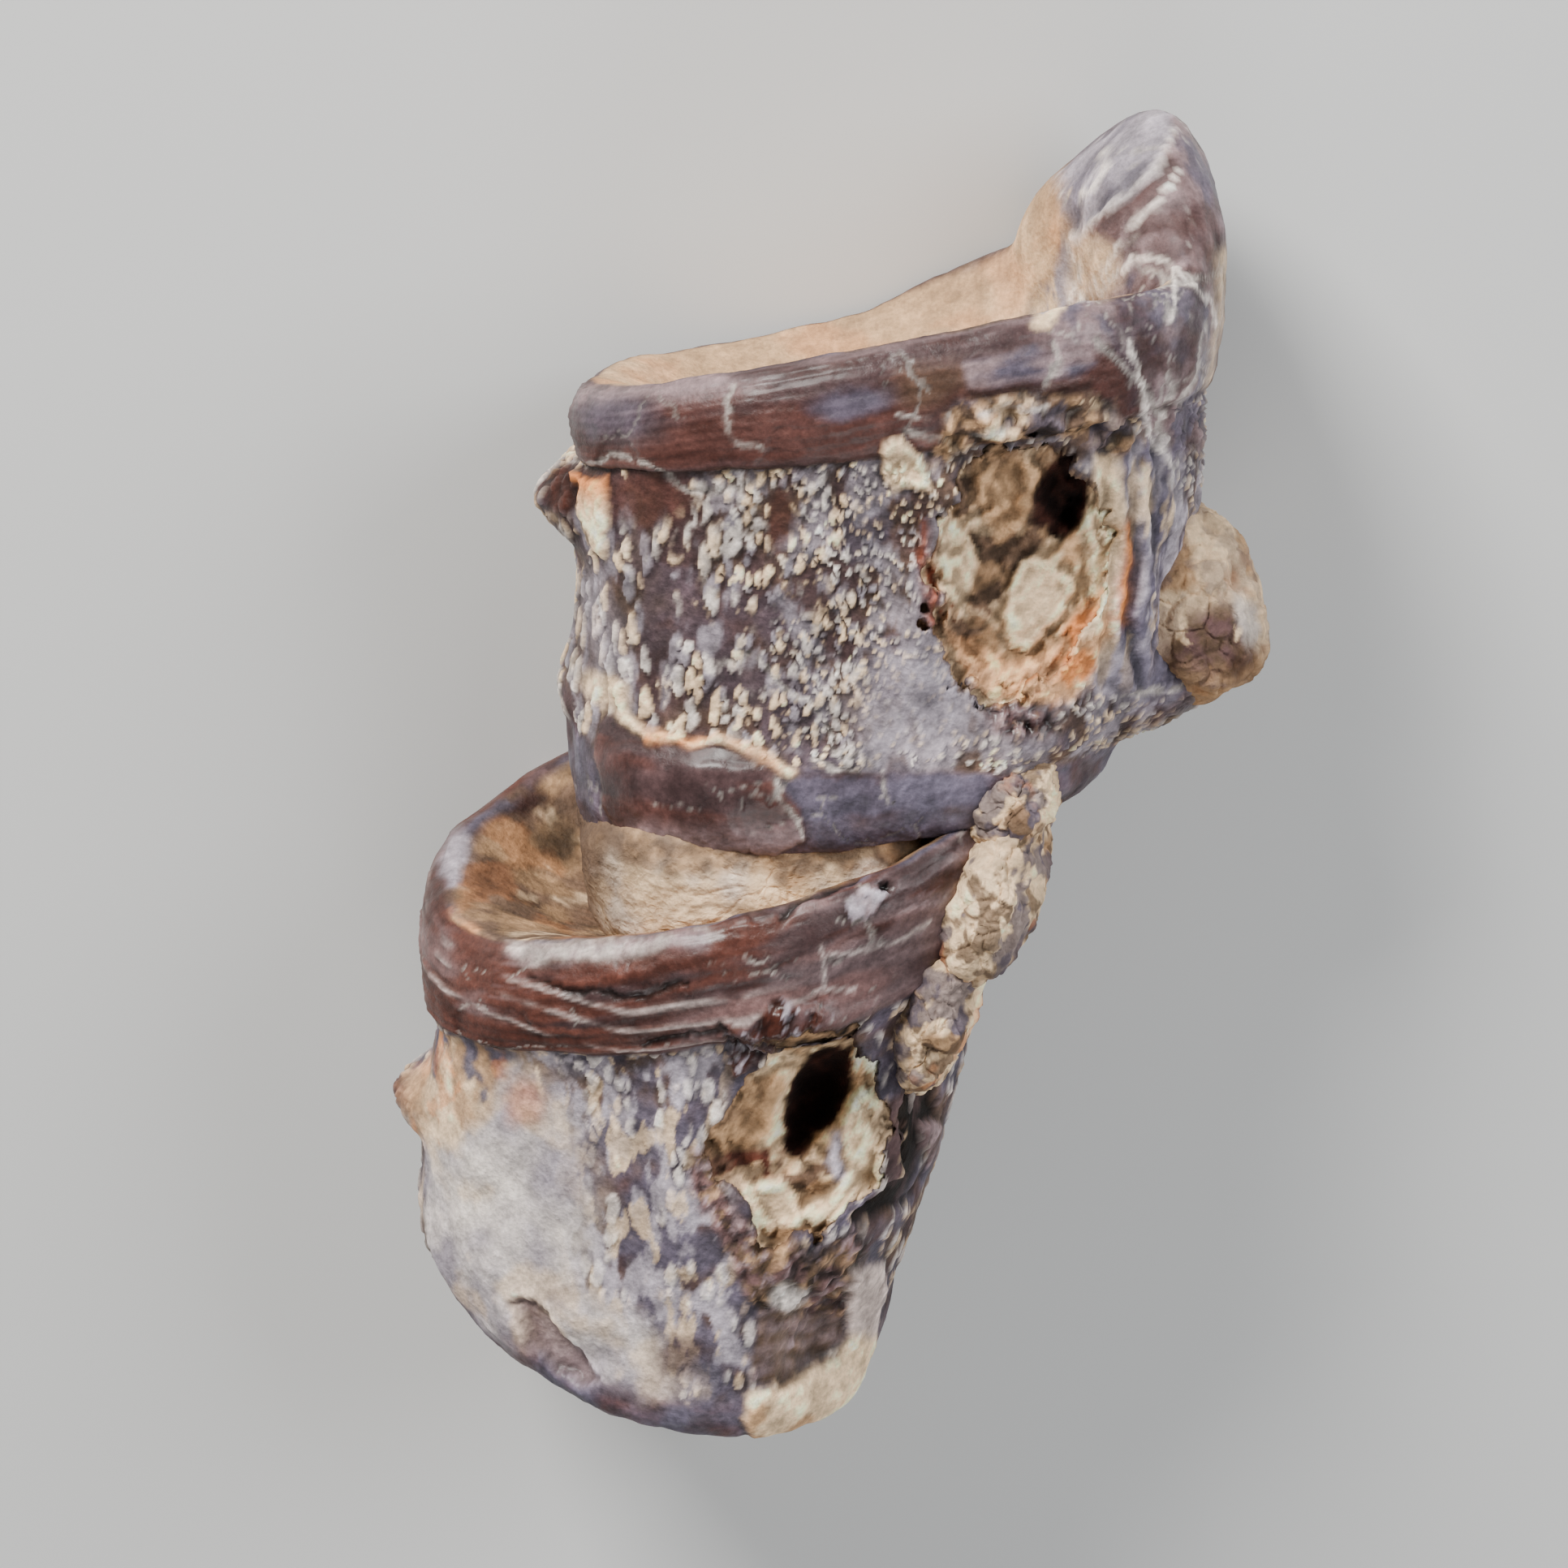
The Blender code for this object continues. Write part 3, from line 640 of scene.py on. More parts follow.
horn = facing * plot(here, [
    (20.6, 33.9), (19.1, 37.0), (20.9, 40.4), (22.1, 43.0), (21.5, 46.2), (20.6, 49.4), (23.5, 53.3),
    (29.9, 56.5), (37.0, 53.3), (37.7, 41.0), (36.4, 32.0), (33.2, 26.2), (29.3, 26.2), (26.7, 33.9),
    (23.5, 34.9)
], 0.7)
horn_face = horn * plot(here, [
    (19.1, 36.5), (20.9, 40.4), (22.1, 43.0), (21.5, 46.2), (20.6, 49.4), (23.5, 53.3), (30.6, 56.5),
    (30.9, 52.0), (29.6, 48.6), (27.5, 46.5), (24.3, 44.8), (23.0, 43.0), (23.2, 38.5), (20.9, 36.4)
], 0.4)
ridge = facing * stroke(here, HORN_RIDGE, 0.32)
horn_lines = facing * strokes(here, HORN_LINES, 0.22)
smooth_left = (
    facing * np.maximum(blot(here, -10.7, 22.6, 4.0, 2.2, 0, 0.4), blot(here, -0.4, 21.0, 1.2, 2.4, 0, 0.4))
)
haze = facing * np.maximum(blot(here, 10.6, 6.2, 5.2, 4.0, 20, 0.5), blot(here, 28.0, 9.7, 3.6, 2.2, 20, 0.4))

# The chalk-filled cells: long ones on the left, small ones over the middle and round ones on the right.
# Each row has their size, reach, where they start, end and are last full across the picture, and a seed.
bent = upper + 0.3 * cloud(upper, 1.2, 24)[..., None]
side = here[..., 0] + 1.2 * cloud(upper, 4.0, 8)
bead, bead_number = np.zeros(row.shape), np.zeros(row.shape)
for size, reach, start, end, full, seed in [
    ([1.15, 3.2, 1.15], 0.47, -99.0, -98.0, -4.9, 31),
    ([0.80, 1.6, 0.80], 0.43, -6.8, -4.3, 4.8, 35),
    ([0.60, 0.70, 0.60], 0.36, -2.3, 2.8, 99.0, 43),
]:
    near, next_near, number = beads(bent, size, seed)
    one = smooth(reach + 0.16 * number - near, -0.02, 0.12) * smooth(next_near - near, 0.03, 0.16)
    one = one * (number > 0.12) * between(side, start, end, full, full + 3)
    bead_number = np.where(one > bead, number, bead_number)
    bead = np.maximum(bead, one)
to_right = smooth(side, -2.3, 8.0)
bead = bead * patchy(upper, 3.5, 128, -0.7, -0.4)
bead = bead * wall * (1 - smooth_left) * (1 - crumbs) * (1 - ribs) * (1 - plate) * (1 - 0.75 * haze)
plates, plate_gap, plate_number = beads(
    upper + 0.6 * cloud(upper, 1.5, 77)[..., None], [7.0, 4.5, 7.0], 51
)
seams = (1 - smooth(plate_gap - plates, 0.0, 0.03)) * (band + foot) * patchy(upper, 4, 2, 0.1, 0.3)

# The pit and the relief, in millimetres
radius, floor, hole = pit_floor(upper, UPPER_PIT_SEEN)
pit = facing * (1 - smooth(radius, LINING_EDGE, 1.0))
relief = 0.10 * cloud(upper, 1.6, 12) * (1 - 0.6 * band - 0.6 * plate)
relief += 0.18 * bead - 0.12 * wall * (1 - bead)
relief += (
    0.05 * np.sin(row * 22 + 3 * cloud(upper, 6, 14)) * band + 0.14 * (plate_number - 0.5) * (band + foot)
)
relief += -0.16 * seams - 0.16 * cracks + 0.28 * jagged + 0.30 * ridge + 0.25 * plate
relief += crumbs * (0.2 + 0.9 * cloud(upper, 1.4, 61)) + 0.55 * lump + 0.5 * tooth
relief += ribs * 0.35 * np.sin(here[..., 0] * 3.1 + 2.0 * cloud(upper, 4, 66))
relief += horn * (0.3 * cloud(upper, [4.0, 7.0, 4.0], 67, 3) + 0.06 * cloud(upper, 0.8, 68)) - under * 0.1
relief += -0.35 * horn_face * blot(here, 26.1, 47.2, 3.0, 6.0, -25, 0.6)
vein, next_vein, _ = beads(upper + 0.9 * cloud(upper, 2.0, 70)[..., None], [4.0, 5.5, 4.0], 71)
veins = (1 - smooth(next_vein - vein, 0.008, 0.028)) * np.maximum(horn, band * smooth(here[..., 0], 22, 28))
veins = veins * patchy(upper, 4.0, 72, -0.05, 0.25)
crystals = facing * blot(here, 18.8, 5.0, 3.2, 1.7, -10, 0.4)
relief += crystals * (0.8 * cloud(upper, 0.9, 133) - 0.3)
relief += (
    0.10 * cloud(along, [6.0, 1.6, 6.0], 69, 2) * (band + foot) * (1 - horn) - 0.05 * veins
    + 0.10 * horn_lines
)
relief += -0.35 * between(row, 6.8, 7.1, 7.2, 7.9)
relief += BACK_RIM_RISE * back_rim(upper) * np.exp(-(((row - LIP_ROW) / 0.9) ** 2))
upper_shape = carved(upper, relief, floor, pit)

# Colours: the ground first, then each part and its marks, and gloss last
tint = layered(PLUM, [
    (MUD, patchy(upper, 5, 101, -0.25, 0.45) * 0.7),
    (SLATE, patchy(upper, 4, 102, 0.1, 0.4) * (0.25 + 0.4 * to_right)),
    (HAZE, wall * 0.65 * smooth(cloud(upper, [1.6, 3.2, 1.6], 103) + 0.45 * to_right, 0.2, 0.6)),
    (np.array(UMBER) * 1.6, smooth_left * 0.7),
    (HAZE, haze * (0.75 + 0.5 * cloud(upper, 2, 104))),
])
bead_colour = layered(0.8 * np.array(CREAM), [
    (np.array(WHITE) * 0.62, smooth(bead_number + 0.5 * cloud(upper, 3, 105), 0.35, 0.7)),
    (SLATE, 0.8 * smooth(bead_number + 0.4 * cloud(upper, 2.5, 119), 0.85, 1.0)),
])
tint = painted(tint, bead_colour, bead * (0.85 + 0.4 * cloud(upper, 1.0, 106)))
streaks = cloud(along, [9.0, 1.8, 9.0], 107, 3)
brown = layered(PLUM, [
    (CHESTNUT, 0.6 * smooth(row + 3.0 * streaks, 4.8, 7.0)),
    (UMBER, 0.55 * patchy(along, [7.0, 2.2, 7.0], 120, 0.0, 0.4, 3)),
    (MAUVE, 0.35 * smooth(4.6 - row + 1.6 * streaks, 0.0, 0.9)),
])
foot_brown = painted(np.array(PLUM) * 0.8, CHESTNUT, 0.45 * smooth(streaks, -0.1, 0.3))
tint = layered(tint, [
    (brown, band),
    (painted(foot_brown, SLATE, 0.6 + 0.8 * cloud(upper, 3, 109)), foot * (1 - plate)),
    (foot_brown, plate),
    (MAUVE, plate * 0.6 * smooth(-here[..., 1], 2.2, 4.1)),
    (SLATE, strip * 0.85),
    (MAUVE, facing * stroke(here, [(-17.0, 31.0), (-12.0, 31.4), (-5.2, 31.9)], 0.8) * 0.8),
    # Painted reflection: two grey-blue patches of sheen on the glossy band
    (SLATE, facing * 0.8 * blot(here, 5.4, 30.3, 3.2, 1.1, 8, 0.5)),
    (SLATE, facing * 0.6 * blot(here, -13.6, 29.3, 2.8, 1.6, 0, 0.6)),
    (MUD, facing * 0.6 * blot(here, 11.5, 32.0, 3.0, 1.6, 10, 0.6)),
])
grey_patch = facing * plot(here, [
    (13.8, 33.5), (20.9, 35.1), (24.5, 35.7), (24.9, 33.3), (20.9, 32.1), (14.5, 31.4)
], 0.4)
tint = layered(tint, [
    (painted(SLATE, MAUVE, 0.5 + 1.4 * cloud(along, [4, 1, 4], 121)), grey_patch * 0.9),
    (DARK, facing * 0.6 * plot(here, [(14.5, 31.1), (24.5, 32.3), (24.1, 30.5), (15.1, 29.7)], 0.4)),
])
horn_colour = layered(PLUM, [
    (MAUVE, 0.2 + 0.5 * patchy(upper, [1.6, 5, 1.6], 110, -0.25, 0.25)),
    (SLATE, 0.8 * patchy(upper, 3, 111, -0.1, 0.3)),
    (UMBER, 0.6 * smooth(cloud(upper, 4, 122) - 0.4 * horn_face, 0.0, 0.3)),
])
tint = painted(tint, horn_colour, horn * (1 - horn_face))
face_colour = layered(HAZE, [
    (SLATE, 0.7 * patchy(upper, [3, 8, 3], 123, -0.2, 0.3)),
    (CREAM, smooth(cloud(upper, [2, 4, 2], 124) - 0.10 * here[..., 1] + 4.1, 0.15, 0.4)),
])
cup_colour = layered(TAN, [
    (CREAM, 0.15 + 0.4 * patchy(upper, 9, 125, -0.1, 0.4)),
    (ORANGE, 0.3 * patchy(upper, 7, 117, 0.0, 0.4)),
])
tint = layered(tint, [
    (cup_colour, cup * (1 - horn)),
    (face_colour, horn_face),
    (CREAM, facing * 0.8 * blot(here, 24.5, 41.0, 1.9, 2.2, 20, 0.5)),
    (TAN, facing * 0.8 * stroke(here, [(20.9, 47.8), (21.4, 45.4), (22.7, 43.5)], 0.8)),
    (CREAM, facing * 0.8 * stroke(here, [(35.0, 41.7), (35.4, 36.5), (34.6, 31.4)], 0.8)),
])
rib_colour = layered(SLATE, [
    (HAZE, patchy(upper, [1.0, 6, 1.0], 112, -0.2, 0.2)),
    (CREAM, 0.7 * patchy(upper, [1.4, 6, 1.4], 126, 0.0, 0.3)),
])
tint = painted(tint, rib_colour, ribs * 0.9)
apron = facing * plot(here, [
    (24.9, 26.5), (26.5, 26.2), (27.0, 21.0), (26.7, 17.2), (26.3, 12.3), (24.5, 7.8), (21.5, 6.1),
    (17.4, 6.3), (13.9, 9.3), (12.5, 12.6), (13.5, 13.6), (17.0, 9.4), (21.5, 10.1), (23.8, 17.2),
    (24.5, 22.3)
], 0.5)
apron_colour = layered(CREAM, [
    (PEACH, smooth(cloud(upper, 3.0, 113) - 0.08 * here[..., 1] + 1.4, 0.0, 0.4)),
    (ORANGE, smooth(cloud(upper, 2.0, 132) - 0.08 * here[..., 1] + 0.7, 0.0, 0.4)),
])
tint = layered(tint, [
    (apron_colour, apron),
    (np.array(ORANGE) * 0.75, facing * stroke(here, [(27.2, 20.4), (27.5, 17.2), (27.1, 13.0)], 0.6)),
])
crumb_colour = layered(MUD, [
    (TAN, 0.8 * patchy(upper, 1.0, 114, -0.1, 0.2)),
    (CREAM, 0.7 * patchy(upper, 1.2, 131, 0.15, 0.35)),
    (SLATE, 0.7 * patchy(upper, 2.0, 127, 0.1, 0.3)),
    (DARK, 0.8 * patchy(upper, 1.0, 115, 0.05, 0.3)),
])
tint = layered(tint, [
    (crumb_colour, crumbs),
    (CREAM, lump),
    (UMBER, facing * blot(here, -17.3, 23.4, 2.2, 2.2, 0, 0.4)),
    (painted(CREAM, ORANGE, smooth(here[..., 1], 20.4, 24.3)), tooth),
    (CREAM, facing * 0.8 * stroke(here, [(-18.6, 20.7), (-17.8, 18.5), (-17.0, 16.5)], 0.6)),
    (HAZE, facing * 0.7 * stroke(here, [(-15.9, 15.9), (-14.3, 10.7), (-14.6, 7.5)], 1.3)),
    (CREAM, facing * 0.8 * blot(here, -14.3, 7.5, 2.0, 1.3, -30, 0.4)),
    (painted(CREAM, ORANGE, 0.4 + cloud(upper, 2, 116)), jagged),
    (RUST, facing * 0.9 * stroke(here, [(11.1, 20.7), (11.2, 17.2), (12.0, 12.6)], 0.6)),
    (SLATE, facing * 0.9 * blot(here, 30.3, 9.3, 4.6, 2.4, 12, 0.5)),
    (painted(UMBER, MAUVE, 0.1 + cloud(upper, 0.9, 129)), 0.9 * crystals),
    (PLUM, facing * 0.8 * blot(here, 32.5, 6.1, 5.5, 1.6, 25, 0.5)),
    (WHITE, 0.3 * seams + 0.65 * cracks + 0.4 * ridge + 0.4 * veins + 0.7 * horn_lines),
    (TAN, under),
    (crumb_colour, pit),
])
# Specks, and painted shade and light from the bone's relief
tint = specks_and_painted_shade(tint, upper, 130, 0.9 - 0.4 * band - 0.6 * cup * (1 - horn) - 0.3 * horn, relief)
rough_patches = np.max([bead, crumbs, lump, tooth, jagged, cracks, cup, pit, ribs * 0.6], axis=0)
gloss = (
    np.clip(0.2 + 0.45 * band + 0.4 * plate + 0.3 * foot + 0.4 * cloud(upper, 1.5, 118), 0, 1)
    * (1 - 0.8 * rough_patches)
)
gloss = np.max([gloss, bead * 0.5, crystals], axis=0)
add_surface("upper_vertebra_bone", upper_shape, tint, gloss, "upper_vertebra", bone_finish)


# Upper pit's chalk. The real piece is lime mud that washed into the deep side pit and set as a cream and
# orange lining. It broke up into ledges and leaves a dark hole near its upper right.
chalk_finish = stone("chalk", 0.92, 0.45, 0.16, 0.34, 0.0)

# The lining: how far it reaches past the pit's edge, the row in the waist's middle and how many rows either
# side of it, how far it dips under the bone at the edge and further out, and how thick it is
LINING_REACH = 1.12
WAIST_ROW = 9.5
WAIST_ROWS = 3.5
EDGE_DIP = 1.3
OUTER_DIP = 1.2
LINING_THICKNESS = 0.5


def pit_lining(name, node, disc, disc_rows, pit, patches, seed):
    """The chalk in a pit: a sheet that follows its floor, dips under the bone at its edge and has a back."""
    disc = np.roll(disc, disc.shape[1] // 4, axis=1)
    radius, floor, hole = pit_floor(disc, pit)
    near = (radius < LINING_REACH) & (grid_normals(disc) @ CAMERA_WAY > 0.2)
    near = near & (np.abs(disc_rows - WAIST_ROW) < WAIST_ROWS)[:, None]
    rows, columns = np.nonzero(near.any(axis=1))[0], np.nonzero(near.any(axis=0))[0]
    window = np.ix_(range(rows[0], rows[-1] + 1), range(columns[0], columns[-1] + 1))
    places, floor, hole, radius = disc[window], floor[window], hole[window], radius[window]
    here = seen(places) + 0.5 * np.stack([cloud(places, 1.6, seed), cloud(places, 1.6, seed + 1)], axis=-1)
    tint = painted(CREAM, TAN, patchy(places, 3.5, seed + 2, -0.1, 0.3))
    for colour, raised, corners in patches:
        patch = plot(here, corners, 0.35)
        crumbly = 1.0 if colour in (MUD, RUST, UMBER, PLUM, CHESTNUT) else 0.0
        speckled = 1 - 0.6 * crumbly * patchy(places, 1.3, seed + 3, -0.1, 0.25)
        tint = painted(tint, colour, patch * speckled)
        floor = floor - patch * (raised + crumbly * (0.7 * cloud(places, 1.6, seed + 7)))
    # Browner towards the edge. Painted shade: near black at the edge, where the chalk dips under the bone.
    # The hole is dark brown, partly its own colour and partly painted shade, darkest in its middle.
    tint = layered(tint, [
        (MUD, 0.6 * smooth(radius + 0.3 * cloud(places, 1.5, seed + 4), 0.86, 1.0)),
        (DARK, smooth(radius, 0.97, 1.03)),
        (UMBER, smooth(hole + 0.3 * cloud(places, 1.4, seed + 5), 0.15, 0.5)),
        (np.array(UMBER) * 0.5, smooth(hole + 0.3 * cloud(places, 1.4, seed + 5), 0.5, 0.95)),
    ])
    depth = floor + EDGE_DIP * smooth(radius, LINING_EDGE, 1.02) + OUTER_DIP * smooth(radius, 1.0, 1.4)
    # Specks, with painted shade where the sheet lies deeper and painted light where it stands higher
    tint = specks_and_painted_shade(tint, places, seed + 6, 0.7, -depth)
    # Painted shade: darker where the chalk turns away from the camera, down the pit's steep walls
    tint = tint * smooth(grid_normals(disc)[window] @ CAMERA_WAY, 0.0, 0.75)[..., None]
    front = places - depth[..., None] * CAMERA_WAY
    back = front - LINING_THICKNESS * CAMERA_WAY
    shape = np.concatenate([front, back[:, ::-1]], axis=1)
    tint = np.concatenate([tint, tint[:, ::-1]], axis=1)
    add_surface(name, shape, tint, np.zeros(shape.shape[:2]), node, chalk_finish)


UPPER_PIT_PATCHES = [
    (MUD, 0.3, [
        (12.8, 28.1), (16.1, 29.7), (24.1, 29.4), (25.5, 26.2), (24.1, 21.0), (20.9, 19.7), (18.6, 15.9),
        (16.1, 13.3), (14.1, 14.3), (15.4, 17.8), (13.8, 22.3), (12.5, 25.5)
    ]),
    (UMBER, -0.3, [(19.9, 26.2), (24.1, 27.2), (24.8, 22.3), (22.2, 19.4), (20.3, 21.0)]),
    (TAN, 0.6, [(15.1, 26.2), (18.3, 27.2), (20.4, 25.2), (19.6, 21.0), (17.4, 19.4), (15.4, 22.3)]),
    (CREAM, 0.9, [
        (11.9, 21.0), (13.5, 21.7), (15.2, 19.2), (15.5, 16.6), (14.2, 14.8), (12.6, 14.7), (11.9, 17.2)
    ]),
    (CREAM, 1.0, [
        (17.7, 14.5), (19.1, 17.7), (22.1, 18.7), (23.0, 15.7), (22.1, 13.2), (19.7, 10.7), (18.1, 11.2)
    ]),
    (CREAM, 0.3, [
        (24.9, 26.2), (26.6, 23.6), (26.6, 17.2), (24.8, 12.6), (23.2, 12.6), (24.1, 17.2), (23.8, 20.4)
    ]),
    (PEACH, 0.3, [
        (12.8, 13.0), (15.1, 11.4), (18.3, 9.7), (21.9, 11.0), (23.8, 14.9), (25.7, 15.9), (24.9, 10.7),
        (21.5, 6.1), (16.4, 6.7), (13.8, 9.7)
    ]),
    (ORANGE, 0.2, [(23.5, 13.3), (25.4, 14.3), (24.8, 10.7), (22.8, 8.8), (22.2, 10.4)]),
    (RUST, -0.3, [(11.1, 21.0), (12.0, 21.0), (12.5, 15.2), (14.1, 13.3), (12.5, 12.6), (11.4, 15.9)]),
    (MUD, 0.4, [(14.1, 14.3), (16.1, 14.6), (17.2, 12.3), (15.1, 11.4), (13.3, 12.5)]),
]
pit_lining("upper_pit_lining", "upper_pit_chalk", upper, upper_rows, UPPER_PIT_SEEN, UPPER_PIT_PATCHES, 220)


# Lower vertebra. The real piece is a disc of the same fossil bone, tipped further forwards, so more of its
# end band shows. The band grew with pale lines that run along it. Its waist is paler and blue-grey, and was
# worn smooth on the left.
LOWER_BAND = [
    Ring(-7.5, -3.0, 19.3, 24.1, 20.2, 14.0, 11.0, 12, 0.02),
    Ring(-7.8, -5.5, 19.2, 25.2, 21.2, 13.5, 11.0, 12, 0.02),
    Ring(-8.4, -9.6, 18.9, 24.9, 21.2, 12.0, 10.0, 12, 0.02),
    Ring(-8.9, -13.2, 18.6, 23.9, 20.4, 9.5, 9.0, 12, 0.03),
]
LOWER_WAIST = [
    Ring(-9.0, -15.4, 18.2, 22.9, 19.6, 8.0, 8.0, 13, 0.03),
    Ring(-9.9, -21.0, 18.0, 22.6, 18.8, 4.0, 7.0, 14, 0.04),
    Ring(-11.1, -28.2, 17.8, 21.9, 18.0, -2.0, 7.0, 16, 0.04),
    Ring(-12.1, -35.5, 17.6, 20.2, 17.6, -8.0, 8.0, 18, 0.04),
]
LOWER_FOOT = [
    Ring(-12.4, -40.4, 17.5, 18.9, 17.6, -11.0, 8.0, 19, 0.03),
    Ring(-12.2, -43.9, 17.5, 18.0, 17.4, -12.0, 8.0, 20, 0.03),
    Ring(-12.0, -46.3, 17.5, 16.4, 16.2, -12.0, 8.0, 20, 0.02),
]
LOWER_CUP_DEPTH = 10.5
LOWER_KNOBS = [
    Knob((-31.0, -7.5, 12.0), (4.0, 4.5, 9.0), 1.3),
    Knob((-24.0, -3.6, 4.0), (9.0, 4.5, 8.0), 1.6),
    Knob((-34.0, -27.4, 14.0), (3.8, 2.4, 7.0), 4.2),
    Knob((-32.0, -38.0, 18.0), (5.0, 6.0, 9.0), 2.2),
    Knob((-28.0, -47.5, 18.0), (4.0, 2.8, 6.0), 1.4),
    Knob((-20.0, -44.0, 32.0), (4.0, 2.4, 5.0), -1.8),
    Knob((-1.0, -42.5, 31.0), (4.2, 4.6, 5.0), -2.6),
    Knob((9.0, -21.0, 31.0), (1.6, 5.5, 5.0), -2.2),
    Knob((10.0, -13.0, 34.0), (4.0, 3.0, 5.0), 1.0),
    Knob((-2.0, -13.4, 39.0), (6.0, 1.8, 6.0), 1.4),
    Knob((-11.4, -27.0, 36.0), (2.0, 10.0, 7.0), 1.1),
]
LOWER_ROW_LENGTH = 3.0
LOWER_PIT_SEEN = SeenPit(1.4, -28.1, 6.6, 8.6, -20, 4.4, 2.6, -25.2, 2.2, 4.8, -26, 5.0)

lower, lower_rows = disc_grid(LOWER_BAND, LOWER_WAIST, LOWER_FOOT, LOWER_CUP_DEPTH, LOWER_KNOBS, False)
lower = broad_swell(lower, 0.45, 311)
here = ragged_places(lower, 300)
facing = facing_camera(lower)
row = lower_rows[:, None] + 0.25 * cloud(lower, 9.0, 321) + 0.05 * cloud(lower, 1.2, 322)
along = np.stack([lower[..., 0], LOWER_ROW_LENGTH * row, lower[..., 2]], axis=-1)

PALE_LINE = 0.5 * (np.array(MAUVE) + WHITE)
CRYSTAL_BROWN = 0.6 * np.array(CHESTNUT) + 0.3 * np.array(MAUVE)
LOWER_CRACKS = [
    [(3.5, -13.5), (6.7, -13.3), (9.6, -12.2), (11.5, -10.9)],
    [(3.0, -13.0), (3.2, -16.5)],
    [(-3.9, -19.1), (-0.4, -18.0), (2.8, -16.5), (5.4, -16.5)],
]
GROOVES = [
    [(-20.1, -14.9), (-17.5, -16.5), (-12.6, -16.9), (-7.8, -15.9)],
    [(-11.0, -20.6), (-7.5, -20.0), (-4.5, -19.6)],
    [(-4.9, -19.1), (-4.4, -20.9)],
    [(7.4, -6.1), (2.8, -9.0), (-0.4, -10.5)],
]

# Where each part of the bone lies, as masks from 0 to 1
band = between(row, 3.55, 3.8, 7.0, 7.2)
foot = between(row, 12.3, 12.7, 14.4, 14.8)
wall = between(row, 7.0, 7.25, 12.3, 12.7)
cup = 1 - smooth(row, 3.1, 3.45)
under = smooth(row, 14.4, 14.9)
cracks = facing * strokes(seen(lower) + 0.3 * wandering(lower, 300), LOWER_CRACKS, 0.17)
grooves = facing * strokes(here, GROOVES, 0.25)
flake = facing * plot(here, [(4.5, -9.6), (6.1, -8.3), (8.0, -8.6), (6.8, -10.3), (5.1, -10.8)], 0.2)
slot = facing * plot(here, [(3.5, -7.2), (5.7, -5.8), (5.9, -6.6), (4.1, -7.5)], 0.2)
bore = facing * blot(here, 7.7, -8.1, 0.55, 0.45, 0, 0.3)
brow = facing * plot(here, [
    (-4.8, -19.9), (-0.4, -17.5), (3.8, -18.7), (1.5, -20.4), (-1.0, -21.5), (-3.9, -23.0)
], 0.4)
# Painted shade: the deep crevice right of the pit, near black and sunk a little
dark_crevice_shade = facing * plot(here, [
    (9.9, -21.5), (12.2, -22.1), (12.4, -26.6), (11.2, -27.0), (11.4, -31.4), (9.7, -33.7), (6.1, -35.2),
    (5.4, -34.5), (9.4, -31.2), (9.7, -26.4)
], 0.3)
shard = facing * plot(here, [(11.2, -26.7), (13.3, -27.4), (12.9, -30.6), (11.7, -30.8)], 0.3)
crust = facing * plot(here, [
    (-7.5, -29.0), (-5.7, -29.2), (-4.9, -32.5), (-2.3, -35.4), (2.2, -37.0), (6.1, -35.2), (6.8, -37.4),
    (4.9, -42.3), (-2.0, -42.5), (-3.7, -39.3), (-5.5, -35.7), (-7.4, -32.5)
], 0.5)
layers = facing * plot(here, [(-2.0, -42.2), (4.6, -42.1), (5.0, -43.8), (1.7, -47.2), (-2.6, -47.7)], 0.4)
# Painted highlight: a white glint on the brown crystals, which are also made glossy
painted_glint = facing * blot(here, 0.5, -41.0, 1.3, 0.9, 20, 0.5)
edge_cream = facing * plot(here, [
    (-2.6, -48.4), (-0.1, -47.7), (4.1, -45.3), (5.2, -43.5), (5.1, -38.3), (7.7, -38.3), (7.4, -44.8),
    (6.1, -49.3), (1.9, -51.9), (-2.3, -52.2), (-3.3, -50.3)
], 0.4)
groove = facing * plot(here, [
    (-22.2, -41.0), (-19.7, -41.4), (-14.9, -47.4), (-16.6, -47.9), (-20.1, -44.9)
], 0.6)
worn = (
    facing
    * np.maximum(blot(here, -24.3, -34.5, 8.5, 12.0, -12, 0.35), blot(here, -15.2, -44.1, 7.0, 3.0, -30, 0.5))
)
mottled = facing * plot(here, [
    (-21.0, -20.9), (-4.3, -20.9), (-5.5, -28.0), (-3.9, -38.3), (-2.3, -47.4), (-10.7, -48.6),
    (-17.8, -38.3), (-20.4, -28.0)
], 1.5)
sunset = facing * plot(here, [
    (-28.1, -9.9), (-24.6, -10.9), (-23.0, -15.1), (-21.0, -21.5), (-26.2, -29.3), (-30.1, -28.0),
    (-28.8, -18.3)
], 1.0)

# The chalk-filled cells, the flaked plates of the band, and its growth lines
near, next_near, number = beads(
    lower + 0.25 * cloud(lower, 1.0, 324)[..., None], [1.05, 2.6, 1.05], 331
)
bead = (
    0.75 * smooth(0.36 + 0.2 * number - near, -0.04, 0.12) * smooth(next_near - near, 0.02, 0.12)
    * (number > 0.2)
)
bead = bead * patchy(lower, 4.0, 427, -0.4, -0.05)
bead = bead * wall * (1 - 0.9 * worn) * (1 - crust) * (1 - dark_crevice_shade) * (1 - 0.7 * sunset)
plates, plate_gap, plate_number = beads(
    lower + 0.6 * cloud(lower, 1.5, 377)[..., None], [9.0, 3.0, 9.0], 351
)
seams = (1 - smooth(plate_gap - plates, 0.0, 0.03)) * band * patchy(lower, 4, 302, 0.1, 0.3)
growth = row * 3.1 + 0.35 * cloud(lower, [14, 6, 14], 361)
ledge = growth - np.floor(growth)
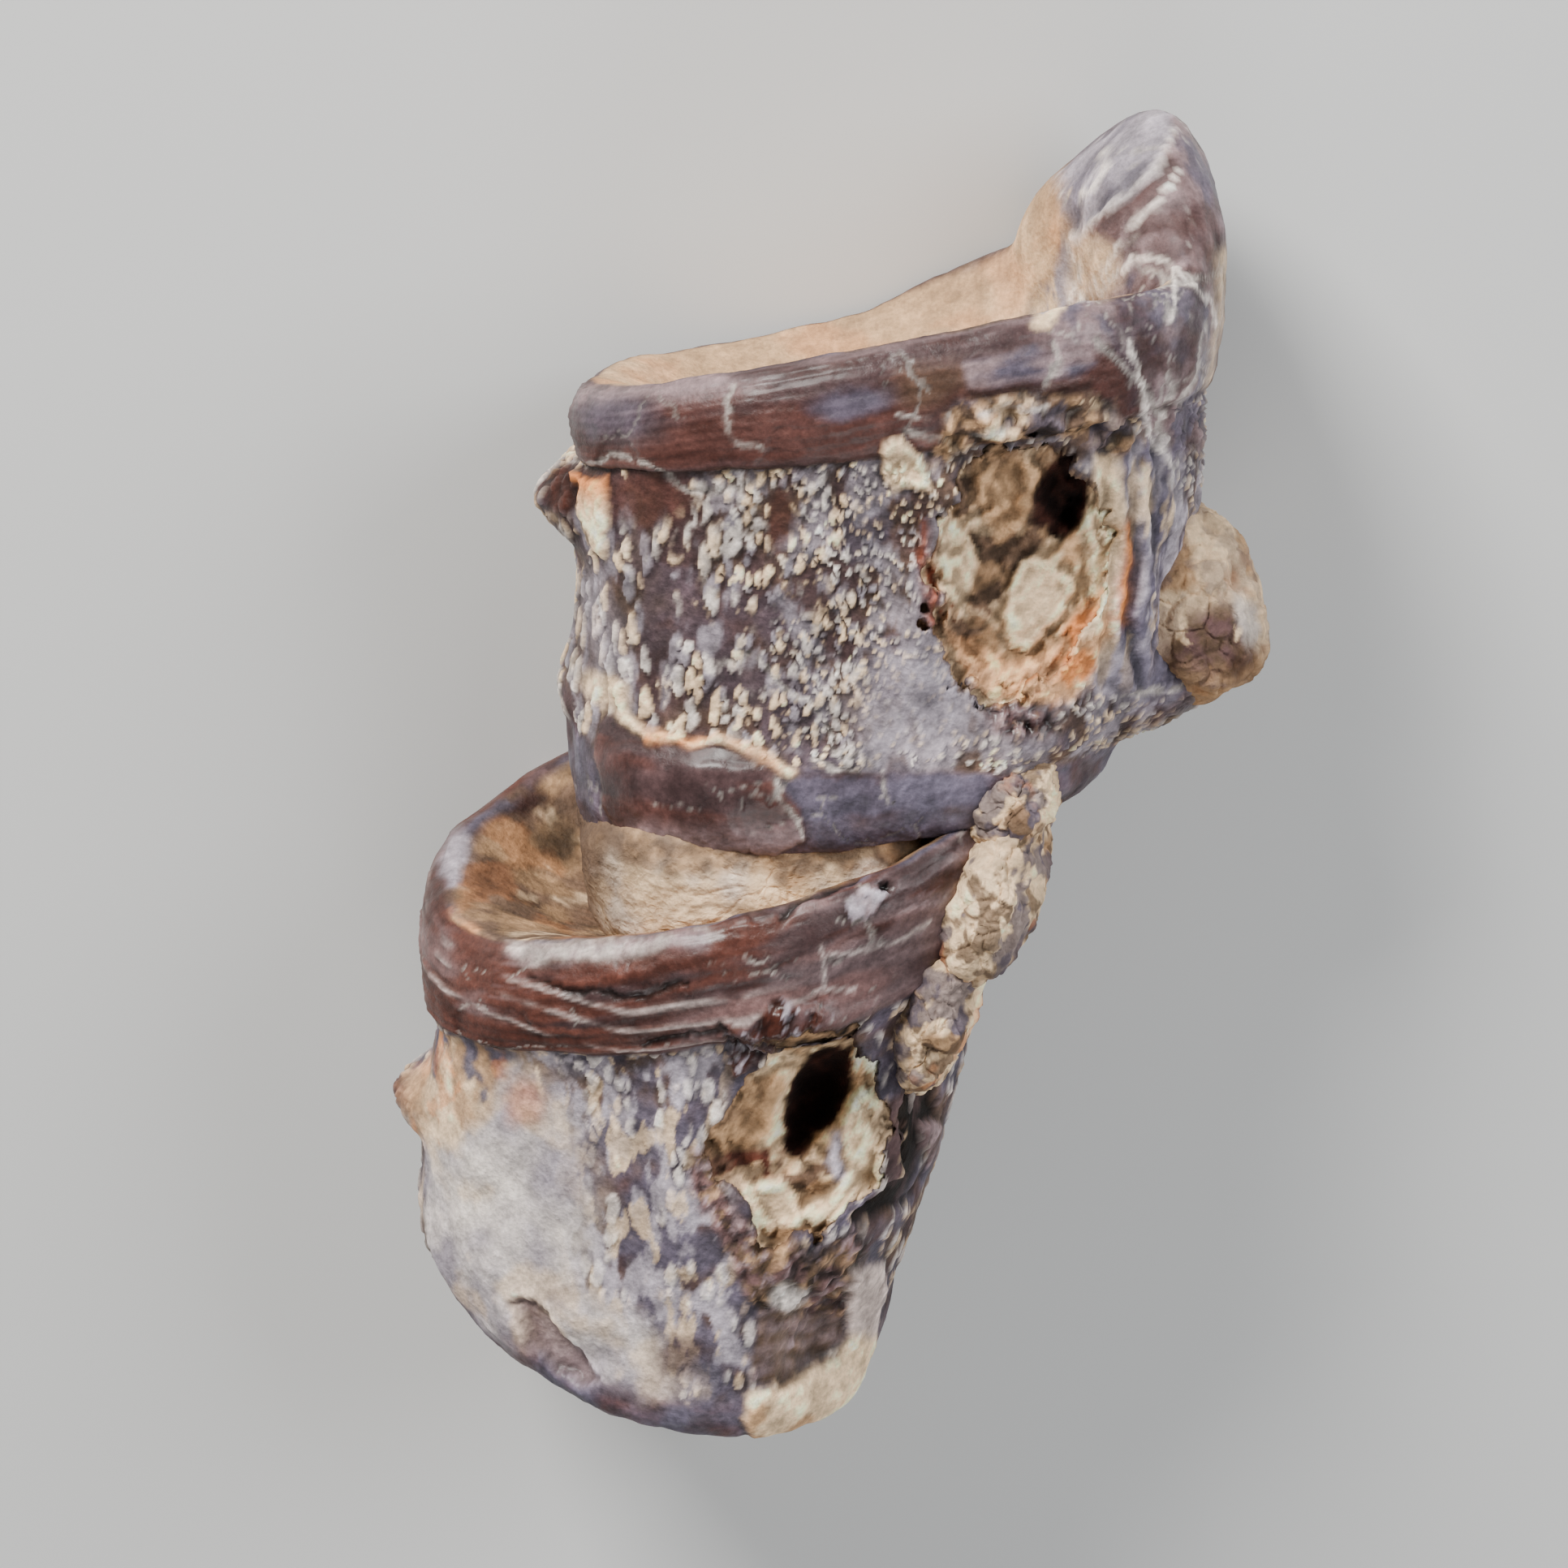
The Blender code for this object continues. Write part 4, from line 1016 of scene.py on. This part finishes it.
lines = np.exp(-(((ledge - 0.5) / 0.09) ** 2)) * band * smooth(noise(lower / 7.0, 362), 0.5, 0.8)
dip = lower_rows[:, None] - 1.3 * smooth(here[..., 0], -28, -10) + 0.1 * cloud(lower, 5.0, 368)
pale = np.max([np.exp(-(((dip - level) / 0.055) ** 2)) for level in (4.45, 4.9, 5.5)], axis=0)
pale = pale * facing * band * (1 - smooth(here[..., 0], -9, 3)) * patchy(lower, 5.0, 369, -0.5, 0.1)

# The pit and the relief, in millimetres
radius, floor, hole = pit_floor(lower, LOWER_PIT_SEEN)
pit = facing * (1 - smooth(radius, LINING_EDGE, 1.0))
relief = 0.12 * cloud(lower, 1.6, 312) * (1 - 0.6 * band) * (1 - 0.5 * worn)
relief += 0.18 * bead - 0.10 * wall * (1 - bead) * (1 - worn)
relief += 0.13 * cloud(along, [7.0, 1.4, 7.0], 366, 3) * (band + foot)
relief += (
    0.22 * (np.abs(ledge - 0.5) - 0.25) * band + 0.1 * lines + 0.15 * pale
    + 0.15 * (plate_number - 0.5) * band
)
relief += -0.14 * seams + 0.05 * cracks - 0.30 * grooves + 0.20 * flake - 0.9 * slot - 0.8 * bore
relief += (
    brow * (0.3 + 0.8 * cloud(lower, 1.2, 363)) - 0.7 * dark_crevice_shade + crust * (0.1 + 0.6 * cloud(lower, 1.0, 364))
    + 0.3 * shard
)
sheets = np.sin(here[..., 1] * 3.6 - 0.6 * here[..., 0] + 3 * cloud(lower, [5, 2, 5], 367))
relief += layers * 0.08 * sheets + 0.5 * edge_cream - 0.9 * groove
relief += worn * 0.5 * cloud(lower, 5.0, 365)
relief += -0.35 * between(row, 6.8, 7.1, 7.2, 7.9)
lower_shape = carved(lower, relief, floor, pit)

# Colours: the ground first, then each part and its marks, and gloss last
tint = layered(PLUM, [
    (MUD, 0.7 * patchy(lower, 5, 401, -0.2, 0.4)),
    (SLATE, 0.85 * patchy(lower, 4, 402, -0.25, 0.25)),
    (HAZE, mottled * patchy(lower, [1.2, 2.6, 1.2], 403, -0.15, 0.25)),
    (CREAM, 0.6 * mottled * patchy(lower, [1.2, 3.0, 1.2], 436, 0.15, 0.35)),
])
bead_colour = painted(
    0.8 * np.array(CREAM), 0.75 * np.array(WHITE), smooth(number + 0.5 * cloud(lower, 4, 405), 0.35, 0.6)
)
tint = painted(tint, bead_colour, bead * (0.75 + 0.4 * cloud(lower, 1.2, 406)))
worn_colour = layered(HAZE, [
    (WHITE, 0.55 + 1.0 * cloud(lower, 6, 407)),
    (CREAM, 0.5 * patchy(lower, 5, 408, 0.0, 0.4)),
])
tint = painted(tint, worn_colour, worn * 0.95)
sunset_colour = layered(TAN, [
    (CREAM, patchy(lower, 4, 422, 0.0, 0.4)),
    (SLATE, patchy(lower, 3.5, 409, 0.05, 0.3)),
])
tint = layered(tint, [
    (sunset_colour, sunset * 0.9),
    (ORANGE, 0.5 * sunset * patchy(lower, 2.5, 410, 0.1, 0.35)),
])
streaks = cloud(along, [10.0, 1.5, 10.0], 411, 3)
brown = layered(np.array(PLUM) * 0.75, [
    (CHESTNUT, 0.85 * smooth(streaks - 0.03 * here[..., 0], -0.2, 0.35)),
    (UMBER, 0.6 * patchy(along, [8.0, 1.2, 8.0], 429, 0.0, 0.35, 3)),
    (MAUVE,
     0.3 * smooth(cloud(along, [8.0, 2.0, 8.0], 423, 3) + 0.3 * smooth(here[..., 0], -4, 8), 0.1, 0.5)),
])
tint = layered(tint, [
    (brown, band),
    (painted(brown, SLATE, 0.5 + 0.9 * cloud(lower, 3, 412)), foot * (1 - worn)),
])
lip_colour = painted(MAUVE, WHITE, 0.3 + cloud(lower, 2.0, 424))
tint = layered(tint, [
    (lip_colour,
     facing * 0.9 * stroke(here, [(-21.3, -13.0), (-17.2, -13.3), (-11.4, -13.0), (-6.8, -12.3)], 0.75)),
    (MAUVE, 0.4 * lines),
    (PALE_LINE, 0.6 * pale),
    (WHITE, 0.4 * seams),
    (PALE_LINE, 0.6 * cracks),
    (DARK, 0.7 * grooves),
    (painted(MAUVE, HAZE, 0.4 + cloud(lower, 1.0, 431)), flake),
    (DARK, np.maximum(slot, bore)),
    (HAZE, facing * 0.9 * blot(here, -26.3, -5.9, 1.2, 2.3, -10, 0.4)),
    (UMBER, facing * 0.8 * blot(here, -28.3, -8.3, 1.8, 2.6, 10, 0.4)),
])
crust_colour = layered(CRYSTAL_BROWN, [
    (MUD, patchy(lower, 1.6, 413, -0.1, 0.2)),
    (MAUVE, 0.7 * patchy(lower, 0.8, 425, 0.1, 0.3)),
    (TAN, 0.6 * patchy(lower, 1.2, 414, 0.2, 0.4)),
    (DARK, 0.8 * patchy(lower, 1.2, 415, 0.05, 0.25)),
])
tint = layered(tint, [
    (crust_colour, crust),
    # The crevice in painted shade, near black with a little plum
    (painted(DARK, PLUM, 0.6 * patchy(lower, 1.5, 428, 0.1, 0.4)), dark_crevice_shade),
    (painted(PLUM, MAUVE, 0.5 + cloud(lower, 1.2, 432)), shard),
    (painted(MUD, np.array(MAUVE) * 0.7, 0.4 + 0.2 * sheets + 0.6 * cloud(lower, 1.5, 435)), layers),
])
edge_colour = layered(CREAM, [
    (TAN, smooth(cloud(lower, 2.5, 433) - 0.3 * (here[..., 1] + 50), -0.1, 0.3)),
    (HAZE, 0.7 * smooth(here[..., 1], -44.5, -43.0)),
])
tint = layered(tint, [
    (edge_colour, edge_cream),
    (painted(MAUVE, UMBER, 0.5 + cloud(lower, 2, 417)), groove * 0.85),
    (PLUM, facing * 0.8 * blot(here, -8.5, -45.5, 2.0, 1.6, 0, 0.5)),
    (SLATE, facing * 0.8 * blot(here, -6.1, -46.7, 1.8, 1.2, 0, 0.5)),
    (TAN, 0.8 * facing * blot(here, -30.1, -24.3, 1.8, 1.8, 0, 0.5)),
    (CHESTNUT, 0.8 * blot(here, -31.7, -24.5, 1.6, 1.5, 0, 0.5)),
    (ORANGE, 0.5 * facing * blot(here, -20.4, -25.3, 1.6, 1.8, 0, 0.5)),
])
cup_colour = layered(np.array(TAN) * 0.6, [
    (MUD, patchy(lower, 4, 418, -0.2, 0.2)),
    (np.array(ORANGE) * 0.45, 0.4 * patchy(lower, 4, 419, 0.1, 0.3)),
    (CREAM, 0.5 * patchy(lower, 3, 426, 0.2, 0.4)),
    (UMBER, facing * blot(here, -21.4, -1.2, 2.4, 1.4, 0, 0.5)),
    (DARK, facing * 0.8 * blot(here, -17.8, -4.5, 1.8, 1.8, 0, 0.5)),
])
tint = layered(tint, [
    (cup_colour, cup),
    (TAN, under),
    (np.array(MUD) * 0.5, pit),
])
# The brow's own dark brown and plum, with pale grey-blue specks that are painted glints on its gloss
brow_colour_and_glints = layered(UMBER, [
    (PLUM, patchy(lower, 1.0, 416, -0.1, 0.2)),
    (HAZE, 0.7 * patchy(lower, 0.7, 434, 0.2, 0.4)),
])
tint = layered(tint, [
    (brow_colour_and_glints, brow * (1 - pit)),
    # The painted highlight of the glint
    (WHITE, 0.8 * painted_glint),
])
# Specks, and painted shade and light from the bone's relief
tint = specks_and_painted_shade(tint, lower, 430, 0.9 - 0.35 * band - 0.6 * worn, relief)
rough_patches = np.max([bead, crust * 0.7, cup, pit, edge_cream, worn * 0.6, sunset * 0.7, dark_crevice_shade], axis=0)
gloss = (
    np.clip(0.2 + 0.5 * band + 0.2 * foot + 0.4 * cloud(lower, 1.5, 420), 0, 1) * (1 - 0.8 * rough_patches)
)
gloss = np.max(
    [gloss, bead * 0.5, brow, painted_glint, layers * 0.7, 0.8 * crust * patchy(lower, 1.4, 421, 0.0, 0.3)], axis=0
)
add_surface("lower_vertebra_bone", lower_shape, tint, gloss, "lower_vertebra", bone_finish)


# Lower pit's chalk. The real piece is the same set lime mud in the lower disc's pit. It left cream walls with
# a dark slanting hole between them.
LOWER_PIT_PATCHES = [
    (TAN, 0.6, [
        (-5.7, -24.7), (-2.6, -22.9), (0.4, -23.2), (-0.5, -25.9), (-1.5, -28.4), (-4.2, -29.3),
        (-6.0, -27.7)
    ]),
    (CHESTNUT, 0.4, [(-6.3, -29.6), (-1.2, -29.0), (-0.5, -32.2), (-3.3, -32.6), (-5.8, -32.0)]),
    (MUD, 0.2, [(-0.7, -29.3), (4.1, -29.0), (4.5, -32.0), (1.5, -33.2), (-0.7, -32.0)]),
    (CREAM, 0.8, [(-3.6, -32.0), (-1.0, -31.5), (1.2, -32.8), (1.5, -35.1), (-1.0, -35.9), (-3.3, -34.5)]),
    (CREAM, 0.9, [
        (4.1, -25.7), (6.2, -24.1), (8.5, -25.7), (9.0, -30.6), (7.7, -32.8), (4.8, -34.5), (2.2, -35.6),
        (1.2, -34.1), (4.1, -32.2), (5.1, -29.9)
    ]),
    (HAZE, 0.5, [(3.4, -28.0), (4.6, -27.7), (4.9, -31.2), (3.8, -31.7)]),
    (CREAM, 0.6, [(5.9, -19.3), (7.7, -20.1), (7.9, -23.2), (6.6, -23.0)]),
    # Its own plum colour and painted shade: a dark strip down the chalk's right edge, beside the crevice
    (PLUM, 0.4, [
        (7.9, -20.9), (9.3, -21.2), (10.1, -24.8), (9.9, -31.2), (9.0, -32.5), (9.2, -28.0), (8.3, -24.1)
    ]),
]
pit_lining("lower_pit_lining", "lower_pit_chalk", lower, lower_rows, LOWER_PIT_SEEN, LOWER_PIT_PATCHES, 240)


# Chalk in the upper cup. The real piece is soft lime mud that set in the bone's hollow cone. It fills the
# cone to a shallow dish, cream near the front and orange behind.
UPPER_FILL_DEPTH = 5.0
BACK_FILL_RISE = 2.6


def chalk_tint(points, seed, base=CREAM, second=TAN, crumbs=MUD, dirt=0.8):
    """Chalk's colours: two soft tones, with darker crumbs, grey-blue bone and a little rust."""
    tint = layered(base, [
        (second, patchy(points, 5, seed, -0.1, 0.3)),
        (crumbs, dirt * patchy(points, 1.6, seed + 1, 0.08, 0.28)),
        (SLATE, dirt * patchy(points, 2.6, seed + 2, 0.12, 0.3)),
        (ORANGE, 0.5 * dirt * patchy(points, 4, seed + 3, 0.22, 0.45)),
    ])
    return specks_and_painted_shade(tint, points, seed + 4, dirt)


def plug_grid(lip, inwards, cup_depth, surface_depth, rows, columns):
    """A plug for a cup, as rings from the middle of its open surface to its rim and down inside the bone."""
    inner = 1 - LIP_WIDTH / lip.width
    shape = [(surface_depth, 0.03), (0.95 * surface_depth, 0.35), (0.7 * surface_depth + 0.4, 0.7)]
    shape += [(0.2 * surface_depth + 1.2, inner + 0.03), (0.42 * cup_depth + 1.6, 0.66)]
    shape += [(0.86 * cup_depth + 1.6, 0.28), (cup_depth + 1.2, 0.03)]
    angles = column_angles(columns)
    sections = [ring_points(sunk(lip, inwards * depth, share), angles) for depth, share in shape]
    places = np.concatenate([np.linspace(0, 3, rows), np.linspace(3, 6, rows // 4)[1:]])
    return down_profile(np.array(sections), places)


rows, columns = ((90, 260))
plug = plug_grid(UPPER_BAND[0], 1, UPPER_CUP_DEPTH, UPPER_FILL_DEPTH, rows, columns)
relief = 0.9 * cloud(plug, 5.0, 501) + 0.3 * cloud(plug, 1.4, 502)
relief += BACK_FILL_RISE * back_rim(plug)
plug = plug + relief[..., None] * np.array([0.0, 1.0, 0.0])
tint = chalk_tint(plug, 503, 0.62 * np.array(CREAM), TAN, MUD, 0.3)
tint = painted(tint, ORANGE, 0.4 * smooth(cloud(plug, 6.0, 504) - 0.05 * plug[..., 2], -0.3, 0.1))
add_surface("upper_cup_fill", plug, tint, np.zeros(plug.shape[:2]), "upper_cup_chalk", chalk_finish)


# Chalk in the lower end. The real piece is a plug of set lime mud in the lower hollow cone. It stands a
# little proud of the bone, with a cream lump at the front right of the rim.
END_FILL_DEPTH = -1.2

# A lump of chalk: its centre, half sizes, and turn in the picture in degrees
Lump = namedtuple("Lump", "centre half turn")
END_CHALK = Lump((-2.6, -47.0, 24.0), (5.6, 4.4, 7.6), 28.0)
plug = plug_grid(LOWER_FOOT[-1], -1, LOWER_CUP_DEPTH, END_FILL_DEPTH, rows, columns)
away = (plug - np.array(END_CHALK.centre)) / (np.array(END_CHALK.half) * 1.05)
relief = (
    0.6 * cloud(plug, 5.0, 511) + 0.25 * cloud(plug, 1.4, 512) + 2.6 * np.exp(-(away**2).sum(axis=2) * 1.6)
)
plug = plug - relief[..., None] * np.array([0.0, 1.0, 0.0])
tint = chalk_tint(plug, 513)
add_surface(
    "end_fill", plug[:, ::-1], tint[:, ::-1], np.zeros(plug.shape[:2]), "end_chalk", chalk_finish
)


# Chalk lens between the discs. The real piece is lime mud that set in the gap and glues the two together.
# It shows as a smooth cream wall under the upper disc.
JOINT_CHALK = Lump((-4.6, -4.0, 18.6), (14.8, 8.0, 15.6), 10.0)


def lump_grid(lump, rows, columns, square):
    """An ellipsoid as rings, turned in the picture. square above 2 makes it boxier."""
    down = np.linspace(0.02, math.pi - 0.02, rows)[:, None]
    around = np.linspace(0, 2 * math.pi, columns, endpoint=False)[None, :]
    sphere = np.stack(
        [np.sin(down) * np.cos(around), np.sin(down) * np.sin(around), np.cos(down) + 0 * around], axis=-1
    )
    sphere = sphere / (np.abs(sphere) ** square).sum(axis=-1, keepdims=True) ** (1 / square)
    turn = np.array(Matrix.Rotation(math.radians(lump.turn), 3, "Z"))
    return (sphere[:, ::-1] * np.array(lump.half)) @ turn.T + np.array(lump.centre)


def add_lump(name, node, lump, seed, crumble=0.5, crumb_size=2.2, tint=None, square=2.0):
    """A lump of chalk: an ellipsoid with coarse facets and crumbs raised on it."""
    rows, columns = ((170, 170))
    grid = lump_grid(lump, rows, columns, square)
    blocks, next_block, number = beads(grid + 0.5 * cloud(grid, 1.5, seed)[..., None], 2.4, seed + 5)
    joints = 1 - smooth(next_block - blocks, 0, 0.15)
    relief = crumble * (1.6 * cloud(grid, crumb_size, seed) + 0.5 * (number - 0.5) - 0.4 * joints)
    grid = grid + relief[..., None] * grid_normals(grid)
    colours = chalk_tint(grid, seed + 20) if tint is None else tint(grid)
    gloss = 0.5 * patchy(grid, 1.2, seed + 9, 0.2, 0.4)
    add_surface(name, grid, colours, gloss, node, chalk_finish)


def lens_tint(points):
    """Smooth cream, brown towards its left, with a darker strip along its top under the upper disc that is
    partly brown crumbs and partly painted shade.
    """
    tint = chalk_tint(points, 521, CREAM, 0.5 * (np.array(CREAM) + WHITE), TAN, 0.25)
    tint = painted(tint, MUD, 0.5 * patchy(points, [9, 1.5, 9], 527, 0.15, 0.35))
    x, y = np.moveaxis(seen(points), -1, 0)
    # Partly painted shade: a darker strip along the top, just under the upper disc's edge
    strip = smooth(y - 0.12 * np.abs(x + 4) + 2.5 * cloud(points, 4, 528), -9.0, -7.5)
    tint = painted(tint, painted(MUD, TAN, 0.3 + 1.2 * cloud(points, 1.2, 529)), 0.85 * strip)
    return painted(tint, MUD, smooth(-points[..., 0], 14, 20))


add_lump("joint_fill", "joint_chalk", JOINT_CHALK, 520, 0.3, 4.0, lens_tint, 3.2)


# Chalk crumbs down the right edge of the joint. The real piece is crumbly chalk left on the bone, cream with
# brown and grey-blue specks. It is three lumps grown together.
EDGE_CHALK = [
    Lump((14.2, 2.6, 28.2), (4.6, 4.6, 8.0), 20.0),
    Lump((12.4, -5.6, 27.6), (4.3, 9.2, 10.8), -16.0),
    Lump((8.4, -14.6, 28.2), (3.5, 8.6, 9.8), -17.0),
]
for number, lump_shape in enumerate(EDGE_CHALK):
    add_lump(f"edge_crumbs_{number + 1}", "edge_chalk", lump_shape, 530 + 10 * number, 0.6, 3.2)


# Chalk lump on the upper disc's right side. The real piece is chalk that set against the bone, smooth and
# tan, with a patch of brown crystals low on it.
SIDE_CHALK = Lump((27.8, 14.4, 17.5), (6.2, 7.8, 8.6), 28.0)


def side_tint(points):
    """Smooth tan, with brown crystals at its lower front, a white edge beside them and a dark spot below."""
    here = seen(points) + 0.5 * np.stack([cloud(points, 2.0, 581), cloud(points, 2.0, 582)], axis=-1)
    tint = chalk_tint(points, 583, TAN, CREAM, MUD, 0.35)
    crystals = blot(here, 34.1, 11.5, 4.2, 2.8, 15, 0.5) * patchy(points, 1.6, 585, -0.35, -0.1)
    tint = layered(tint, [
        (painted(CRYSTAL_BROWN, MUD, 0.5 + cloud(points, 0.9, 584)), crystals),
        (WHITE, 0.6 * blot(here, 36.9, 13.0, 0.9, 2.0, 15, 0.5)),
    ])
    return painted(tint, UMBER, 0.7 * blot(here, 36.4, 9.3, 1.2, 1.2, 0, 0.6))


add_lump("side_lump", "side_chalk", SIDE_CHALK, 570, 0.7, 5.0, side_tint, 2.4)


# Floor: a plain pale table
def add_floor():
    """A flat square that reaches half its width to each side, in metres."""
    mesh = bpy.data.meshes.new("floor")
    half = 6.0
    mesh.from_pydata(
        [(-half, -half, 0), (half, -half, 0), (half, half, 0), (-half, half, 0)], [], [(0, 1, 2, 3)]
    )
    floor = bpy.data.objects.new("floor", mesh)
    bpy.context.scene.collection.objects.link(floor)
    material, tree, surface, place = new_material("pale table")
    surface.inputs["Base Color"].default_value = (0.62, 0.62, 0.61, 1.0)
    surface.inputs["Roughness"].default_value = 0.85
    mesh.materials.append(material)


add_floor()


# Light: a large soft one from the upper left and front, a weaker one from the right, and an even surround
def add_light(place, width, power, colour):
    """An area light at a place in the picture's own directions, in metres, aimed at the fossil."""
    light = bpy.data.lights.new("softbox", "AREA")
    light.size = width
    light.energy = power
    light.color = colour
    made = bpy.data.objects.new("softbox", light)
    bpy.context.scene.collection.objects.link(made)
    stand = Matrix.Rotation(-CAMERA_LEAN, 3, "X") @ Vector(place)
    made.location = stand
    made.rotation_euler = stand.to_track_quat("Z", "Y").to_euler()


add_light((-0.32, 0.42, 0.50), 0.24, 9.0, (1.0, 0.98, 0.95))
add_light((0.45, 0.10, 0.45), 0.35, 3.0, (0.94, 0.97, 1.0))
add_light((0.0, -0.55, 0.25), 0.30, 1.0, (1.0, 1.0, 1.0))
world = bpy.data.worlds.new("studio")
bpy.context.scene.world = world
world.use_nodes = True
world.node_tree.nodes["Background"].inputs["Color"].default_value = (0.8, 0.82, 0.85, 1.0)
world.node_tree.nodes["Background"].inputs["Strength"].default_value = 0.25

# Camera: the picture's own view, square on to the leant-back fossil
PICTURE_WIDTH = 124.6
camera = bpy.data.cameras.new("camera")
camera.angle = 2 * math.atan(PICTURE_WIDTH / 2 / CAMERA_PLACE[2])
camera.clip_start = 0.01
viewer = bpy.data.objects.new("camera", camera)
bpy.context.scene.collection.objects.link(viewer)
lean = Matrix.Rotation(-CAMERA_LEAN, 4, "X")
stand = lean @ Vector(CAMERA_PLACE) + Vector(PICTURE_MIDDLE - BOX_MIDDLE)
viewer.matrix_world = Matrix.Translation(stand * MM) @ lean
bpy.context.scene.camera = viewer
